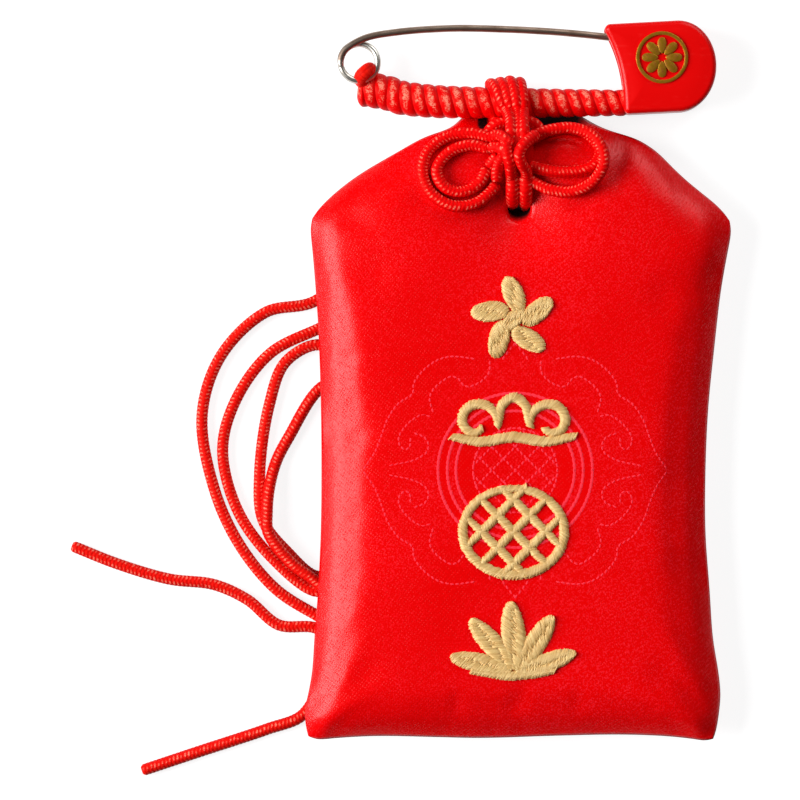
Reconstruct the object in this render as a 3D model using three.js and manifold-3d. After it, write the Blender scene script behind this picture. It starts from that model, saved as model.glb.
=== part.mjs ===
// Amulet pouch: a padded satin pouch that hangs from a nappy pin by a bow of cord.
// Millimetres, +Z up. The pouch lies on its back and +Y points from its foot to the pin.
import * as THREE from 'three';
import { mergeVertices } from 'three/addons/utils/BufferGeometryUtils.js';
import Module from 'manifold-3d';

const wasm = await Module();
wasm.setup();

// Clearance between pieces that touch on the real object
const seat = 0.3;

// Pouch outline
const pouchLength = 89.5;
const mouthWidth = 27;
const mouthRound = 4.5;
const shoulderWidth = 62.6;
const shoulderDrop = 14.2;
const shoulderRound = 4.2;
const waistWidth = 55.8;
const waistHeight = 30;
const waistRound = 24;
const footWidth = 62.2;
const footRound = 3.4;
const dipSlope = 3;
const dipRound = 1.4;
const lean = 0.014;

// Pouch fullness: the side seam is held above the surface, and the back is flat round its heart
const heartHeight = 40;
const seamHeight = 5;
const frontCrown = 4;
const frontFullness = 4;
const frontRoundness = 2.2;
const backFullness = 1.5;
const restShare = 0.25;
const clothThickness = 0.7;
const cornerSteps = 4;
const pouchRings = [restShare, 0.45, 0.65, 0.8, 0.9, 0.96, 1];

// Cord hole, where the cord pulls the two panels together
const holeDiameter = 4.4;
const holeDrop = 11.95;
const holeX = -0.15;
const holeSides = 24;
const pinchRadius = 8;
const frontPinch = 1.2;
const backPinch = 0.6;

// Filling, from the back to the front
const waddingMargin = 9;
const waddingDrop = 17.5;
const backWaddingTop = 4.2;
const slipWidth = 30;
const slipLength = 48;
const slipThickness = 0.6;
const cardWidth = 38;
const cardLength = 54;
const cardThickness = 0.8;
const cornerRound = 2;

// Gold embroidery, four motifs down the middle of the front
const threadHeight = 0.5;
const threadSeat = 0.05;
const stitchWidth = 1.3;
const motifX = -0.85;
const blossomDrop = 28.5;
const cloudDrop = 43.1;
const latticeDrop = 59.4;
const lotusDrop = 75.4;

// Cord and bow
const cordDiameter = 1.5;
const cordSides = 8;
const knotX = -0.6;
const knotDrop = 4.05;
const knotWidth = 5.8;
const knotLength = 6.8;
const knotHeight = 3.9;
const strandSpread = 2.2;
const strandBend = 3;
const hangerLeftX = -2.9;
const hangerRightX = 0.2;
const floorGap = 0.05;
const bowSteps = 3;
const strandSteps = 2;
const tailSteps = 1.65;

// Pin: the fixed wire runs in the braided sleeve, and the arm springs from the coil into the cap
const pinLength = 55;
const pinCentreX = 1.16;
const wireDiameter = 1.2;
const wireSides = 8;
const coilDiameter = 5;
const coilGap = 0.6;
const coilRise = 5.9;
const sleeveStandoff = 3.05;
const sleeveDiameter = 4.3;
const sleeveSides = 14;
const pinReach = 14.6;
const armCrown = 5;
const armShortfall = 2.4;

// Pin cap, with the slot that the arm drops into and the clasp that lines it
const capWidth = 15.9;
const capHeight = 13.35;
const capThickness = 7.6;
const capBevel = 1.1;
const capHollow = 2.5;
const capNose = 5.5;
const capSlope = 0.45;
const capEndWall = 4.2;
const slotDepth = 9.4;
const claspThickness = 0.4;
const claspClearance = 0.35;
const claspDrop = 1.4;
const claspInset = 0.8;
const boreDepth = 7;
const emblemDiameter = 7.4;
const emblemThickness = 0.25;
const emblemInset = 7.55;
const emblemDrop = 4.95;

// Places that follow from the sizes
const overallLength = pouchLength + pinReach;
const footY = -overallLength / 2;
const mouthY = footY + pouchLength;
const heart = new THREE.Vector2(0, footY + heartHeight);
const hole = new THREE.Vector2(holeX, mouthY - holeDrop);
const holeLeftX = holeX - strandSpread / 2;
const holeRightX = holeX + strandSpread / 2;
const knot = new THREE.Vector2(knotX, mouthY - knotDrop);
const sleeveY = mouthY + sleeveStandoff;
const hangerRadius = (sleeveDiameter + cordDiameter) / 2 + seat;
const axisZ = hangerRadius + cordDiameter / 2 + floorGap;
const dipY = sleeveY - sleeveDiameter / 2 - cordDiameter - 2 * seat;
const coilRadius = coilDiameter / 2;
const coilPitch = wireDiameter + coilGap;
const coilX = pinCentreX - (pinLength - coilDiameter - wireDiameter) / 2;
const coil = new THREE.Vector2(coilX, sleeveY + coilRise);
const capRight = pinCentreX + pinLength / 2;
const capLeft = capRight - capWidth;
const capTop = mouthY + pinReach;
const capBottom = capTop - capHeight;
const slotWidth = wireDiameter + 2 * (claspClearance + claspThickness + seat);
const slotEndX = capRight - capEndWall;
const slotFloorY = capTop - slotDepth;

// Colours and finishes
const satin = { color: 0xd8060f, roughness: 0.5, metalness: 0 };
const wadding = { color: 0xf2eee6, roughness: 0.95, metalness: 0 };
const card = { color: 0xc9b593, roughness: 0.9, metalness: 0 };
const paper = { color: 0xe9d9a6, roughness: 0.85, metalness: 0 };
const goldThread = { color: 0xd6aa5f, roughness: 0.45, metalness: 0.2 };
const braidedCord = { color: 0xe01410, roughness: 0.6, metalness: 0 };
const steel = { color: 0x8d8378, roughness: 0.3, metalness: 1 };
const redPlastic = { color: 0xdd0505, roughness: 0.2, metalness: 0 };
const goldFoil = { color: 0xc89a2a, roughness: 0.35, metalness: 0.8 };

const pouch = new THREE.Group();

// Adds one named piece to the object.
function addPiece(name, geometry, finish) {
  const mesh = new THREE.Mesh(geometry, new THREE.MeshStandardMaterial(finish));
  mesh.name = name;
  pouch.add(mesh);
}

// A solid for joining and cutting.
function toSolid(geometry) {
  const bare = geometry.clone();
  bare.deleteAttribute('normal');
  bare.deleteAttribute('uv');
  const merged = mergeVertices(bare, 1e-4);
  const vertProperties = Float32Array.from(merged.attributes.position.array);
  const triVerts = Uint32Array.from(merged.index.array);
  return new wasm.Manifold(new wasm.Mesh({ numProp: 3, vertProperties, triVerts }));
}

function toGeometry(solid) {
  const mesh = solid.getMesh();
  const geometry = new THREE.BufferGeometry();
  geometry.setAttribute('position', new THREE.BufferAttribute(mesh.vertProperties, 3));
  geometry.setIndex(new THREE.BufferAttribute(mesh.triVerts, 1));
  geometry.computeVertexNormals();
  return geometry;
}

function cut(geometry, ...tools) {
  const left = tools.reduce((body, tool) => body.subtract(toSolid(tool)), toSolid(geometry));
  return toGeometry(left);
}

function join(geometries) {
  const [first, ...others] = geometries.map(toSolid);
  return toGeometry(others.reduce((body, other) => body.add(other), first));
}

// A closed body from rings that run anticlockwise, seen from above, between two single points.
function closedBody(rings) {
  const positions = rings.flat().flatMap((point) => [point.x, point.y, point.z]);
  const columns = rings[1].length;
  const index = [];
  let start = 0;
  for (let r = 0; r < rings.length - 1; r++) {
    const next = start + rings[r].length;
    for (let c = 0; c < columns; c++) {
      const d = (c + 1) % columns;
      if (rings[r].length === 1) {
        index.push(start, next + c, next + d);
      } else if (rings[r + 1].length === 1) {
        index.push(start + c, next, start + d);
      } else {
        index.push(start + c, next + c, next + d, start + c, next + d, start + d);
      }
    }
    start = next;
  }
  const geometry = new THREE.BufferGeometry();
  geometry.setAttribute('position', new THREE.Float32BufferAttribute(positions, 3));
  geometry.setIndex(index);
  geometry.computeVertexNormals();
  return geometry;
}

// A smooth line whose steps follow its points, so that tight bends get short steps.
class Route extends THREE.CatmullRomCurve3 {
  constructor(points) {
    super(points, false, 'centripetal');
  }

  getUtoTmapping(u) {
    return u;
  }
}

function polygon(diameter, sides) {
  const corner = (k) => {
    const turn = (2 * Math.PI * (k + 0.5)) / sides;
    return new THREE.Vector2(Math.cos(turn), Math.sin(turn)).multiplyScalar(diameter / 2);
  };
  return new THREE.Shape(Array.from({ length: sides }, (_, k) => corner(k)));
}

function tube(points, diameter, sides, stepsPerSpan) {
  return new THREE.ExtrudeGeometry(polygon(diameter, sides), {
    steps: Math.round((points.length - 1) * stepsPerSpan),
    extrudePath: new Route(points),
    bevelEnabled: false,
  });
}

function box(x0, x1, y0, y1, z0, z1) {
  const geometry = new THREE.BoxGeometry(x1 - x0, y1 - y0, z1 - z0);
  return geometry.translate((x0 + x1) / 2, (y0 + y1) / 2, (z0 + z1) / 2);
}

// An upright cylinder between two heights.
function upright(x, y, diameter, sides, z0, z1) {
  const geometry = new THREE.CylinderGeometry(diameter / 2, diameter / 2, z1 - z0, sides);
  return geometry.rotateX(Math.PI / 2).translate(x, y, (z0 + z1) / 2);
}

// A closed path with each corner, given as x, y and reach, rounded over that reach.
function roundedShape(corners) {
  const shape = new THREE.Shape();
  const count = corners.length;
  corners.forEach(([x, y, reach], k) => {
    const here = new THREE.Vector2(x, y);
    const before = new THREE.Vector2(...corners[(k + count - 1) % count]);
    const after = new THREE.Vector2(...corners[(k + 1) % count]);
    const enter = here.clone().addScaledVector(before.sub(here).normalize(), reach);
    const leave = here.clone().addScaledVector(after.sub(here).normalize(), reach);
    if (k === 0) {
      shape.moveTo(enter.x, enter.y);
    } else {
      shape.lineTo(enter.x, enter.y);
    }
    shape.quadraticCurveTo(x, y, leave.x, leave.y);
  });
  shape.closePath();
  return shape;
}

// A dip in the mouth for the hanger strands, sloping shoulders, a waist and square feet
function pouchOutline() {
  const dipLeft = hangerLeftX - cordDiameter / 2 - seat;
  const dipRight = hangerRightX + cordDiameter / 2 + seat;
  const shoulderY = mouthY - shoulderDrop;
  const waistY = footY + waistHeight;
  const corners = [
    [dipLeft, dipY, dipRound],
    [dipLeft - dipSlope, mouthY, dipRound],
    [-mouthWidth / 2, mouthY, mouthRound],
    [-shoulderWidth / 2, shoulderY, shoulderRound],
    [-waistWidth / 2, waistY, waistRound],
    [-footWidth / 2, footY, footRound],
    [footWidth / 2, footY, footRound],
    [waistWidth / 2, waistY, waistRound],
    [shoulderWidth / 2, shoulderY, shoulderRound],
    [mouthWidth / 2, mouthY, mouthRound],
    [dipRight + dipSlope, mouthY, dipRound],
    [dipRight, dipY, dipRound],
  ];
  return roundedShape(corners.map(([x, y, reach]) => [x + lean * y, y, reach]));
}

const outline = pouchOutline().getPoints(cornerSteps).slice(0, -1);

// How far from the heart to the edge a place is, as a share, and how long that way is.
const hair = 1e-6;

function wayToEdge(x, y) {
  const way = new THREE.Vector2(x, y).sub(heart);
  const length = way.length();
  for (let k = 0; k < outline.length && length > 0; k++) {
    const a = outline[k].clone().sub(heart);
    const side = outline[(k + 1) % outline.length].clone().sub(heart).sub(a);
    const across = way.cross(side);
    const along = a.cross(side) / across;
    const share = a.cross(way) / across;
    if (along > 0 && share > -hair && share < 1 + hair) {
      return { share: 1 / along, reach: length * along };
    }
  }
  return { share: 0, reach: heartHeight };
}

function pinch(x, y) {
  const away = Math.min(1, Math.hypot(x - hole.x, y - hole.y) / pinchRadius);
  return (1 - away * away) ** 2;
}

// The pouch's four surfaces, by the share of the way from the heart to the edge
const seamTop = seamHeight + seat / 2;
const seamBottom = seamHeight - seat / 2;
const crown = (share) => Math.max(0, 1 - share ** frontFullness) ** (1 / frontRoundness);
const hull = (share) => (Math.max(0, share - restShare) / (1 - restShare)) ** backFullness;
const frontOuter = (share, x, y) => seamTop + frontCrown * crown(share) - frontPinch * pinch(x, y);
const frontInner = (share, x, y) =>
  seamTop + (frontCrown - clothThickness) * crown(share) - frontPinch * pinch(x, y);
const backOuter = (share, x, y) => seamBottom * hull(share) + backPinch * pinch(x, y) * hull(share);
const backInner = (share, x, y) =>
  clothThickness + (seamBottom - clothThickness) * hull(share) + backPinch * pinch(x, y) * hull(share);

// Height of the front cloth at a place.
function frontAt(x, y) {
  return frontOuter(Math.min(1, wayToEdge(x, y).share), x, y);
}

// Height of a panel's inner face at a place.
function innerAt(face, x, y) {
  const { share, reach } = wayToEdge(x, y);
  return face(Math.min(1, share / (1 - clothThickness / reach)), x, y);
}

// Rings of points from the heart outwards, kept a margin inside the edge.
function faceRings(margin, height) {
  const rings = pouchRings.map((ring) =>
    outline.map((edge) => {
      const way = edge.clone().sub(heart);
      const place = heart.clone().addScaledVector(way, ring * (1 - margin / way.length()));
      return new THREE.Vector3(place.x, place.y, height(ring, place.x, place.y));
    }),
  );
  return [[new THREE.Vector3(heart.x, heart.y, height(0, heart.x, heart.y))], ...rings];
}

function layer(top, bottom) {
  return closedBody([...top, ...bottom.reverse()]);
}

// Front and back panels, with the cord hole through both
function buildPanels() {
  const punch = upright(hole.x, hole.y, holeDiameter, holeSides, -1, seamTop + frontCrown + 1);
  const front = layer(faceRings(0, frontOuter), faceRings(clothThickness, frontInner));
  const back = layer(faceRings(clothThickness, backInner), faceRings(0, backOuter));
  addPiece('front_panel', cut(front, punch), satin);
  addPiece('back_panel', cut(back, punch), satin);
}

// Wadding, paper slip and card between the panels, below the hole
function buildFilling() {
  const slipBottom = backWaddingTop + seat;
  const cardBottom = slipBottom + slipThickness + seat;
  const frontWaddingBottom = cardBottom + cardThickness + seat;
  const reachAll = pouchLength;
  const above = box(-reachAll, reachAll, mouthY - waddingDrop, reachAll, -1, reachAll);
  const backWadding = layer(
    faceRings(waddingMargin, () => backWaddingTop),
    faceRings(waddingMargin, (_, x, y) => innerAt(backInner, x, y) + seat),
  );
  const frontWadding = layer(
    faceRings(waddingMargin, (_, x, y) => innerAt(frontInner, x, y) - seat),
    faceRings(waddingMargin, () => frontWaddingBottom),
  );
  addPiece('back_wadding', cut(backWadding, above), wadding);
  addPiece('amulet_slip', plate(slipWidth, slipLength, slipThickness, slipBottom), paper);
  addPiece('stiffener_card', plate(cardWidth, cardLength, cardThickness, cardBottom), card);
  addPiece('front_wadding', cut(frontWadding, above), wadding);
}

// A flat sheet with round corners, centred on the heart.
function plate(width, length, thickness, bottom) {
  const corners = [[-1, -1], [1, -1], [1, 1], [-1, 1]];
  const shape = roundedShape(corners.map(([x, y]) => [(x * width) / 2, (y * length) / 2, cornerRound]));
  const settings = { depth: thickness, bevelEnabled: false, curveSegments: cornerSteps };
  return new THREE.ExtrudeGeometry(shape, settings).translate(heart.x, heart.y, bottom);
}

// Flat stitched shapes, drawn round the middle of a motif
function stitched(shape, segments) {
  return new THREE.ExtrudeGeometry(shape, {
    depth: threadHeight,
    bevelEnabled: false,
    curveSegments: segments,
  });
}

// A petal drawn as an oval band, turned about the motif's middle or another root.
function petal(rootX, rootY, turn, middle, long, wide) {
  const x = rootX + middle * Math.cos(turn);
  const y = rootY + middle * Math.sin(turn);
  const shape = new THREE.Shape().absellipse(x, y, long, wide, 0, 2 * Math.PI, false, turn);
  const inside = new THREE.Path();
  inside.absellipse(x, y, long - stitchWidth, wide - stitchWidth, 0, 2 * Math.PI, false, turn);
  shape.holes.push(inside);
  return stitched(shape, 10);
}

// A band of stitches along a smooth line of places.
function band(places, width) {
  const line = new THREE.SplineCurve(places.map(([x, y]) => new THREE.Vector2(x, y)));
  const steps = (places.length - 1) * 4;
  const sides = [1, -1].map((hand) =>
    Array.from({ length: steps + 1 }, (_, k) => {
      const way = line.getTangent(k / steps);
      const across = new THREE.Vector2(-way.y, way.x).multiplyScalar((hand * width) / 2);
      return line.getPoint(k / steps).add(across);
    }),
  );
  return stitched(new THREE.Shape([...sides[1], ...sides[0].reverse()]), 1);
}

// Places along a spiral that winds in from one turn to another.
function scroll(x, y, hand, radius, core, from, to) {
  const count = 9;
  return Array.from({ length: count }, (_, k) => {
    const share = k / (count - 1);
    const turn = from + (to - from) * share;
    const away = radius + (core - radius) * share;
    return [hand * (x + away * Math.cos(turn)), y + away * Math.sin(turn)];
  });
}

function blossom() {
  const petals = 5;
  const turns = Array.from({ length: petals }, (_, k) => Math.PI / 2 + (2 * Math.PI * k) / petals);
  const middle = stitched(new THREE.Shape().absarc(0, 0, 1.7, 0, 2 * Math.PI, false), 8);
  return [middle, ...turns.map((turn) => petal(0, 0, turn, 3.6, 2.3, 2.05))];
}

function cloud() {
  const curls = [1, -1].map((hand) =>
    band(scroll(5.4, -0.3, hand, 3.1, 1.2, Math.PI, -Math.PI * 0.75), stitchWidth),
  );
  const arch = band([[-2.4, -1], [-1.6, 2.2], [0, 3.2], [1.6, 2.2], [2.4, -1]], stitchWidth);
  const foot = band([[-9, -2.4], [-4.6, -3.1], [0, -2.5], [4.6, -3.1], [9, -2.4]], stitchWidth);
  return [arch, foot, ...curls];
}

function lattice() {
  const spacing = 3.3;
  const reach = 5.4;
  const bars = [-1, 0, 1].flatMap((k) => {
    const shift = (k * spacing) / Math.SQRT2;
    const half = reach - Math.abs(k) * 0.6;
    return [1, -1].map((hand) =>
      band([[shift - half, hand * (-shift - half)], [shift + half, hand * (half - shift)]], stitchWidth),
    );
  });
  return [petal(0, 0, 0, 0, 8, 6.9), ...bars];
}

function lotus() {
  const rootY = -4.4;
  const leaves = [
    [90, 5.3, 4.8, 2.1], [53, 5.2, 4.6, 1.9], [127, 5.2, 4.6, 1.9], [16, 4.9, 4.4, 1.7], [164, 4.9, 4.4, 1.7],
  ];
  const petals = leaves.map(([degrees, middle, long, wide]) =>
    petal(0, rootY, THREE.MathUtils.degToRad(degrees), middle, long, wide),
  );
  return [band([[-6, rootY + 0.3], [0, rootY - 0.4], [6, rootY + 0.3]], stitchWidth), ...petals];
}

// Lays a flat motif on the front cloth.
function lay(pieces, drop) {
  const geometry = join(pieces).translate(motifX, mouthY - drop, 0);
  const places = geometry.attributes.position;
  for (let k = 0; k < places.count; k++) {
    places.setZ(k, places.getZ(k) + threadSeat + frontAt(places.getX(k), places.getY(k)));
  }
  return geometry;
}

function buildEmbroidery() {
  addPiece('motif_blossom', lay(blossom(), blossomDrop), goldThread);
  addPiece('motif_cloud', lay(cloud(), cloudDrop), goldThread);
  addPiece('motif_lattice', lay(lattice(), latticeDrop), goldThread);
  addPiece('motif_lotus', lay(lotus(), lotusDrop), goldThread);
}

// Bow loops: across and up from the knot, and how far the strand's middle is above the cloth
const bowLoops = {
  bow_left_outer: [
    [-3.4, 2.1, 2], [-6.3, 3.2, 2], [-9.8, 2.6, 1.6], [-12.8, 0.2, 1.2], [-13.6, -2.9, 1.1],
    [-12.4, -6, 1.1], [-9.2, -8, 1.1], [-5.8, -7.7, 1.2], [-3.6, -6, 1.2], [-2.6, -4.6, 1.2],
  ],
  bow_left_inner: [
    [-3.6, 0.2, 1.3], [-6.6, 0.8, 1.2], [-9.6, -0.3, 1.1], [-11.4, -2.8, 1.1], [-10.4, -5.2, 1.1],
    [-7.8, -6, 1.1], [-5.3, -4.8, 1.1], [-4, -2.4, 1.2],
  ],
  bow_right_outer: [
    [2.8, 2.9, 3], [5.4, 3.9, 3.6], [8.6, 4.1, 3.8], [11.5, 3.1, 3.4], [13.2, 0.8, 2.8],
    [13.5, -1.8, 2.4], [11.7, -4.8, 1.6], [8.7, -6.2, 1.1], [5.2, -5.9, 1.1], [3, -4.3, 1.1],
  ],
  bow_right_inner: [
    [3.4, 0.9, 1.1], [5.6, 1.8, 1.1], [8.4, 2.3, 1.1], [11, 1.3, 1.1], [12.1, -0.8, 1.1],
    [10.8, -2.8, 1.1], [8, -3.6, 1.1], [5.2, -3.1, 1.1], [3.7, -1.4, 1.1],
  ],
};

// A place on the front, across and up from the knot and lifted off the cloth.
function onCloth([across, up, lift]) {
  const x = knot.x + across;
  const y = knot.y + up;
  return new THREE.Vector3(x, y, frontAt(x, y) + lift);
}

function buildBow() {
  for (const [name, places] of Object.entries(bowLoops)) {
    addPiece(name, tube(places.map(onCloth), cordDiameter, cordSides, bowSteps), braidedCord);
  }
}

// Knot: a rounded core with one strand drawn slantwise over it
const knotZ = frontAt(knot.x, knot.y) + seat + knotHeight / 2;

function buildKnot() {
  const core = new THREE.SphereGeometry(1, 20, 12).rotateX(Math.PI / 2);
  const half = new THREE.Vector3(knotWidth, knotLength, knotHeight).divideScalar(2);
  const middle = new THREE.Vector3(knot.x, knot.y, knotZ);
  const over = [[0.62, 0.62, 0.3], [0.34, 0.3, 0.86], [0, 0, 1.02], [-0.34, -0.3, 0.86], [-0.62, -0.62, 0.3]];
  const places = over.map((share) => new THREE.Vector3(...share).multiply(half).add(middle));
  core.scale(half.x, half.y, half.z).translate(middle.x, middle.y, middle.z);
  addPiece('bow_knot', join([core, tube(places, cordDiameter, cordSides, strandSteps)]), braidedCord);
}

// Hanger strands: from the knot over the sleeve, round it and back up through the dip in the mouth
function buildHangers() {
  const turns = Array.from({ length: 13 }, (_, k) => THREE.MathUtils.degToRad(110 - 22.5 * k));
  const round = turns.map((turn) => [
    sleeveY + hangerRadius * Math.cos(turn),
    axisZ + hangerRadius * Math.sin(turn),
  ]);
  const knotTop = knot.y + knotLength / 2;
  const behind = sleeveY - hangerRadius;
  const underKnot = knotZ - knotHeight / 2;
  const rear = [[behind, axisZ], [behind - seat, axisZ + cordDiameter], [knotTop - seat, underKnot]];
  const hangers = { hanger_left: hangerLeftX, hanger_right: hangerRightX };
  for (const [name, x] of Object.entries(hangers)) {
    const places = [[knotTop + seat, knotZ], ...round, ...rear].map(([y, z]) => new THREE.Vector3(x, y, z));
    addPiece(name, tube(places, cordDiameter, cordSides, strandSteps), braidedCord);
  }
}

// Strands from the knot down into the hole, turning over a rounded bend
const strandFoot = seamHeight + seat / 2;

function buildHoleStrands() {
  const knotFoot = knot.y - knotLength / 2 - seat;
  const strands = { hole_strand_left: holeLeftX, hole_strand_right: holeRightX };
  for (const [name, x] of Object.entries(strands)) {
    const over = frontAt(x, hole.y) + cordDiameter;
    const bend = [90, 60, 30, 0].map((degrees) => {
      const turn = THREE.MathUtils.degToRad(degrees);
      return [hole.y + strandBend * (1 - Math.cos(turn)), over - strandBend * (1 - Math.sin(turn))];
    });
    const line = [[knotFoot, over], ...bend, [hole.y, strandFoot]];
    const places = line.map(([y, z]) => new THREE.Vector3(x, y, z));
    addPiece(name, tube(places, cordDiameter, cordSides, strandSteps), braidedCord);
  }
}

// The cord's two ends behind the pouch. The long one comes out at the left side four times.
const cordZ = cordDiameter / 2 + floorGap;
const cordTop = strandFoot - seat;
const longTail = [
  [holeLeftX, hole.y, cordTop], [-1.7, 25.6, 2.6], [-3.6, 26, 1.1], [-6.6, 26.1, cordZ], [-13, 24.7, cordZ],
  [-22, 19, cordZ], [-29.7, 11.7, cordZ], [-37, 10, cordZ], [-43.5, 3.6, cordZ], [-46.2, -5, cordZ],
  [-44.5, -15.5, cordZ], [-40.9, -23.6, cordZ], [-35.5, -30.3, cordZ], [-29.8, -34, cordZ],
  [-26.6, -35.6, cordZ], [-23.2, -35.2, cordZ], [-21.6, -32.3, cordZ], [-23.2, -29.7, cordZ],
  [-26.4, -29.5, cordZ], [-29.5, -30.7, cordZ], [-35.9, -25.9, cordZ], [-41, -18.9, cordZ],
  [-43.2, -10, cordZ], [-41.2, -2.6, cordZ], [-36.2, 4.1, cordZ], [-29.3, 7.6, cordZ], [-26.2, 9, cordZ],
  [-22.9, 8.7, cordZ], [-21.3, 5.9, cordZ], [-22.9, 3.3, cordZ], [-26, 3.2, cordZ], [-29.2, 5.3, cordZ],
  [-34, 2.8, cordZ], [-36.4, -3.5, cordZ], [-37.8, -13.5, cordZ], [-37.3, -20.3, cordZ],
  [-33.8, -24.9, cordZ], [-29.4, -28.5, cordZ], [-26, -27.2, cordZ], [-21.6, -27.6, cordZ],
  [-19.1, -32.2, cordZ], [-21.6, -37.2, cordZ], [-26.4, -38, cordZ], [-29.8, -36, cordZ],
  [-35, -35.6, cordZ], [-39.6, -31.9, cordZ], [-44.5, -29.7, cordZ], [-51, -28.9, cordZ],
  [-58.5, -26.7, cordZ], [-65.3, -24, cordZ],
];
const shortTail = [
  [holeRightX, hole.y, cordTop], [0.9, 25.2, 2.6], [0.4, 23.8, 1.1], [-1.6, 21.6, cordZ], [-5, 19.6, cordZ],
  [-9.6, 18.3, cordZ], [-14.6, 16.2, cordZ], [-18.4, 12.3, cordZ], [-18.9, 7, cordZ], [-20.2, 2.6, cordZ],
  [-24.2, 0.8, cordZ], [-28.9, -1, cordZ], [-33.5, -8.1, cordZ], [-35.4, -11.8, 1.1], [-36.4, -15.7, 2],
  [-36.7, -19.1, 2.4], [-36.5, -22.1, 2.6], [-33.2, -26.5, 2.6], [-29.4, -29.4, 2.65], [-27.1, -32.4, 2.7],
  [-26.9, -36.4, 2.7], [-27.7, -40, 2], [-29, -44.5, cordZ], [-31.6, -48.8, cordZ], [-36.7, -50.8, cordZ],
  [-46.7, -54.1, cordZ], [-55.1, -56.9, cordZ],
];

function buildTails() {
  const tails = { cord_tail_long: longTail, cord_tail_short: shortTail };
  for (const [name, places] of Object.entries(tails)) {
    const points = places.map((place) => new THREE.Vector3(...place));
    addPiece(name, tube(points, cordDiameter, cordSides, tailSteps), braidedCord);
  }
}

// Places on the coil at a turn, in degrees.
function onCoil(degrees, z) {
  const turn = THREE.MathUtils.degToRad(degrees);
  return new THREE.Vector3(coil.x + coilRadius * Math.cos(turn), coil.y + coilRadius * Math.sin(turn), z);
}

// The fixed wire: one turn of the coil, then through the sleeve into the cap
const turnStart = 255;
const turnStep = 15;
const turnSteps = 25;
const coilTurn = Array.from({ length: turnSteps + 1 }, (_, k) =>
  onCoil(turnStart + turnStep * k, axisZ - (coilPitch * turnStep * k) / 360),
);
const wireEndX = capLeft + capHollow + boreDepth;
const sleeveEndX = capLeft + capHollow - seat;
const wireRun = [
  new THREE.Vector3(coil.x + 1.6, coil.y - coilRadius - 0.35, axisZ - coilPitch),
  new THREE.Vector3(coil.x + 3.7, coil.y - coilRadius - 1.6, axisZ - coilPitch * 0.6),
  new THREE.Vector3(coil.x + 6.4, sleeveY + 0.8, axisZ - coilPitch * 0.3),
  new THREE.Vector3(coil.x + 10.5, sleeveY + 0.15, axisZ - coilPitch * 0.06),
  new THREE.Vector3(coil.x + 14.5, sleeveY, axisZ),
  new THREE.Vector3(0, sleeveY, axisZ),
  new THREE.Vector3(sleeveEndX, sleeveY, axisZ),
  new THREE.Vector3(wireEndX, sleeveY, axisZ),
];

function buildFixedWire() {
  const wire = [...coilTurn, ...wireRun];
  addPiece('pin_wire', tube(wire, wireDiameter, wireSides, 1), steel);
  const line = new Route(wire).getPoints(600);
  const apart = coilRadius * Math.PI;
  let least = Infinity;
  let gone = 0;
  const along = line.map((point, k) => (gone += k ? point.distanceTo(line[k - 1]) : 0));
  line.forEach((a, i) => {
    line.forEach((b, j) => {
      if (along[j] - along[i] > apart) {
        least = Math.min(least, a.distanceTo(b));
      }
    });
  });
  console.log(`least gap of the pin wire to itself: ${(least - wireDiameter).toFixed(2)} mm`);
}

// The braided sleeve on the fixed wire, clear of the coil
function buildSleeve() {
  const wallStart = 1;
  const middle = wireRun.slice(wallStart, -1);
  const tooEarly = wireRun[wallStart].clone().sub(wireRun[wallStart - 1]).normalize();
  const bore = [wireRun[wallStart].clone().addScaledVector(tooEarly, -1), ...middle, wireRun.at(-1)];
  const boreDiameter = (wireDiameter + 2 * seat) / Math.cos(Math.PI / wireSides);
  const sleeve = tube(middle, sleeveDiameter, sleeveSides, 2);
  addPiece('pin_sleeve', cut(sleeve, tube(bore, boreDiameter, wireSides, 2)), braidedCord);
}

// The sprung arm: half a turn on top of the coil, then a shallow bow into the cap's slot, given as
// shares of the way to the tip and of the crown, with the arm level with the slot at its last three places
const armBow = [
  [0.02, 0.71], [0.125, 0.89], [0.295, 1], [0.46, 0.98], [0.63, 0.9], [0.79, 0.76], [0.9, 0.62], [1, 0.52],
];

function buildArm() {
  const armZ = axisZ + coilPitch;
  const tipX = slotEndX - armShortfall;
  const halfStart = 262;
  const halfStep = 14.6;
  const half = Array.from({ length: 10 }, (_, k) => onCoil(halfStart - halfStep * k, armZ));
  const slotShare = armBow.at(-3)[0];
  const bow = armBow.map(([along, rise]) => {
    const fall = Math.min(1, along / slotShare);
    return new THREE.Vector3(
      coil.x + along * (tipX - coil.x),
      coil.y + rise * armCrown,
      armZ + fall * (axisZ - armZ),
    );
  });
  addPiece('pin_arm', tube([...half, ...bow], wireDiameter, wireSides, 2), steel);
}

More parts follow.
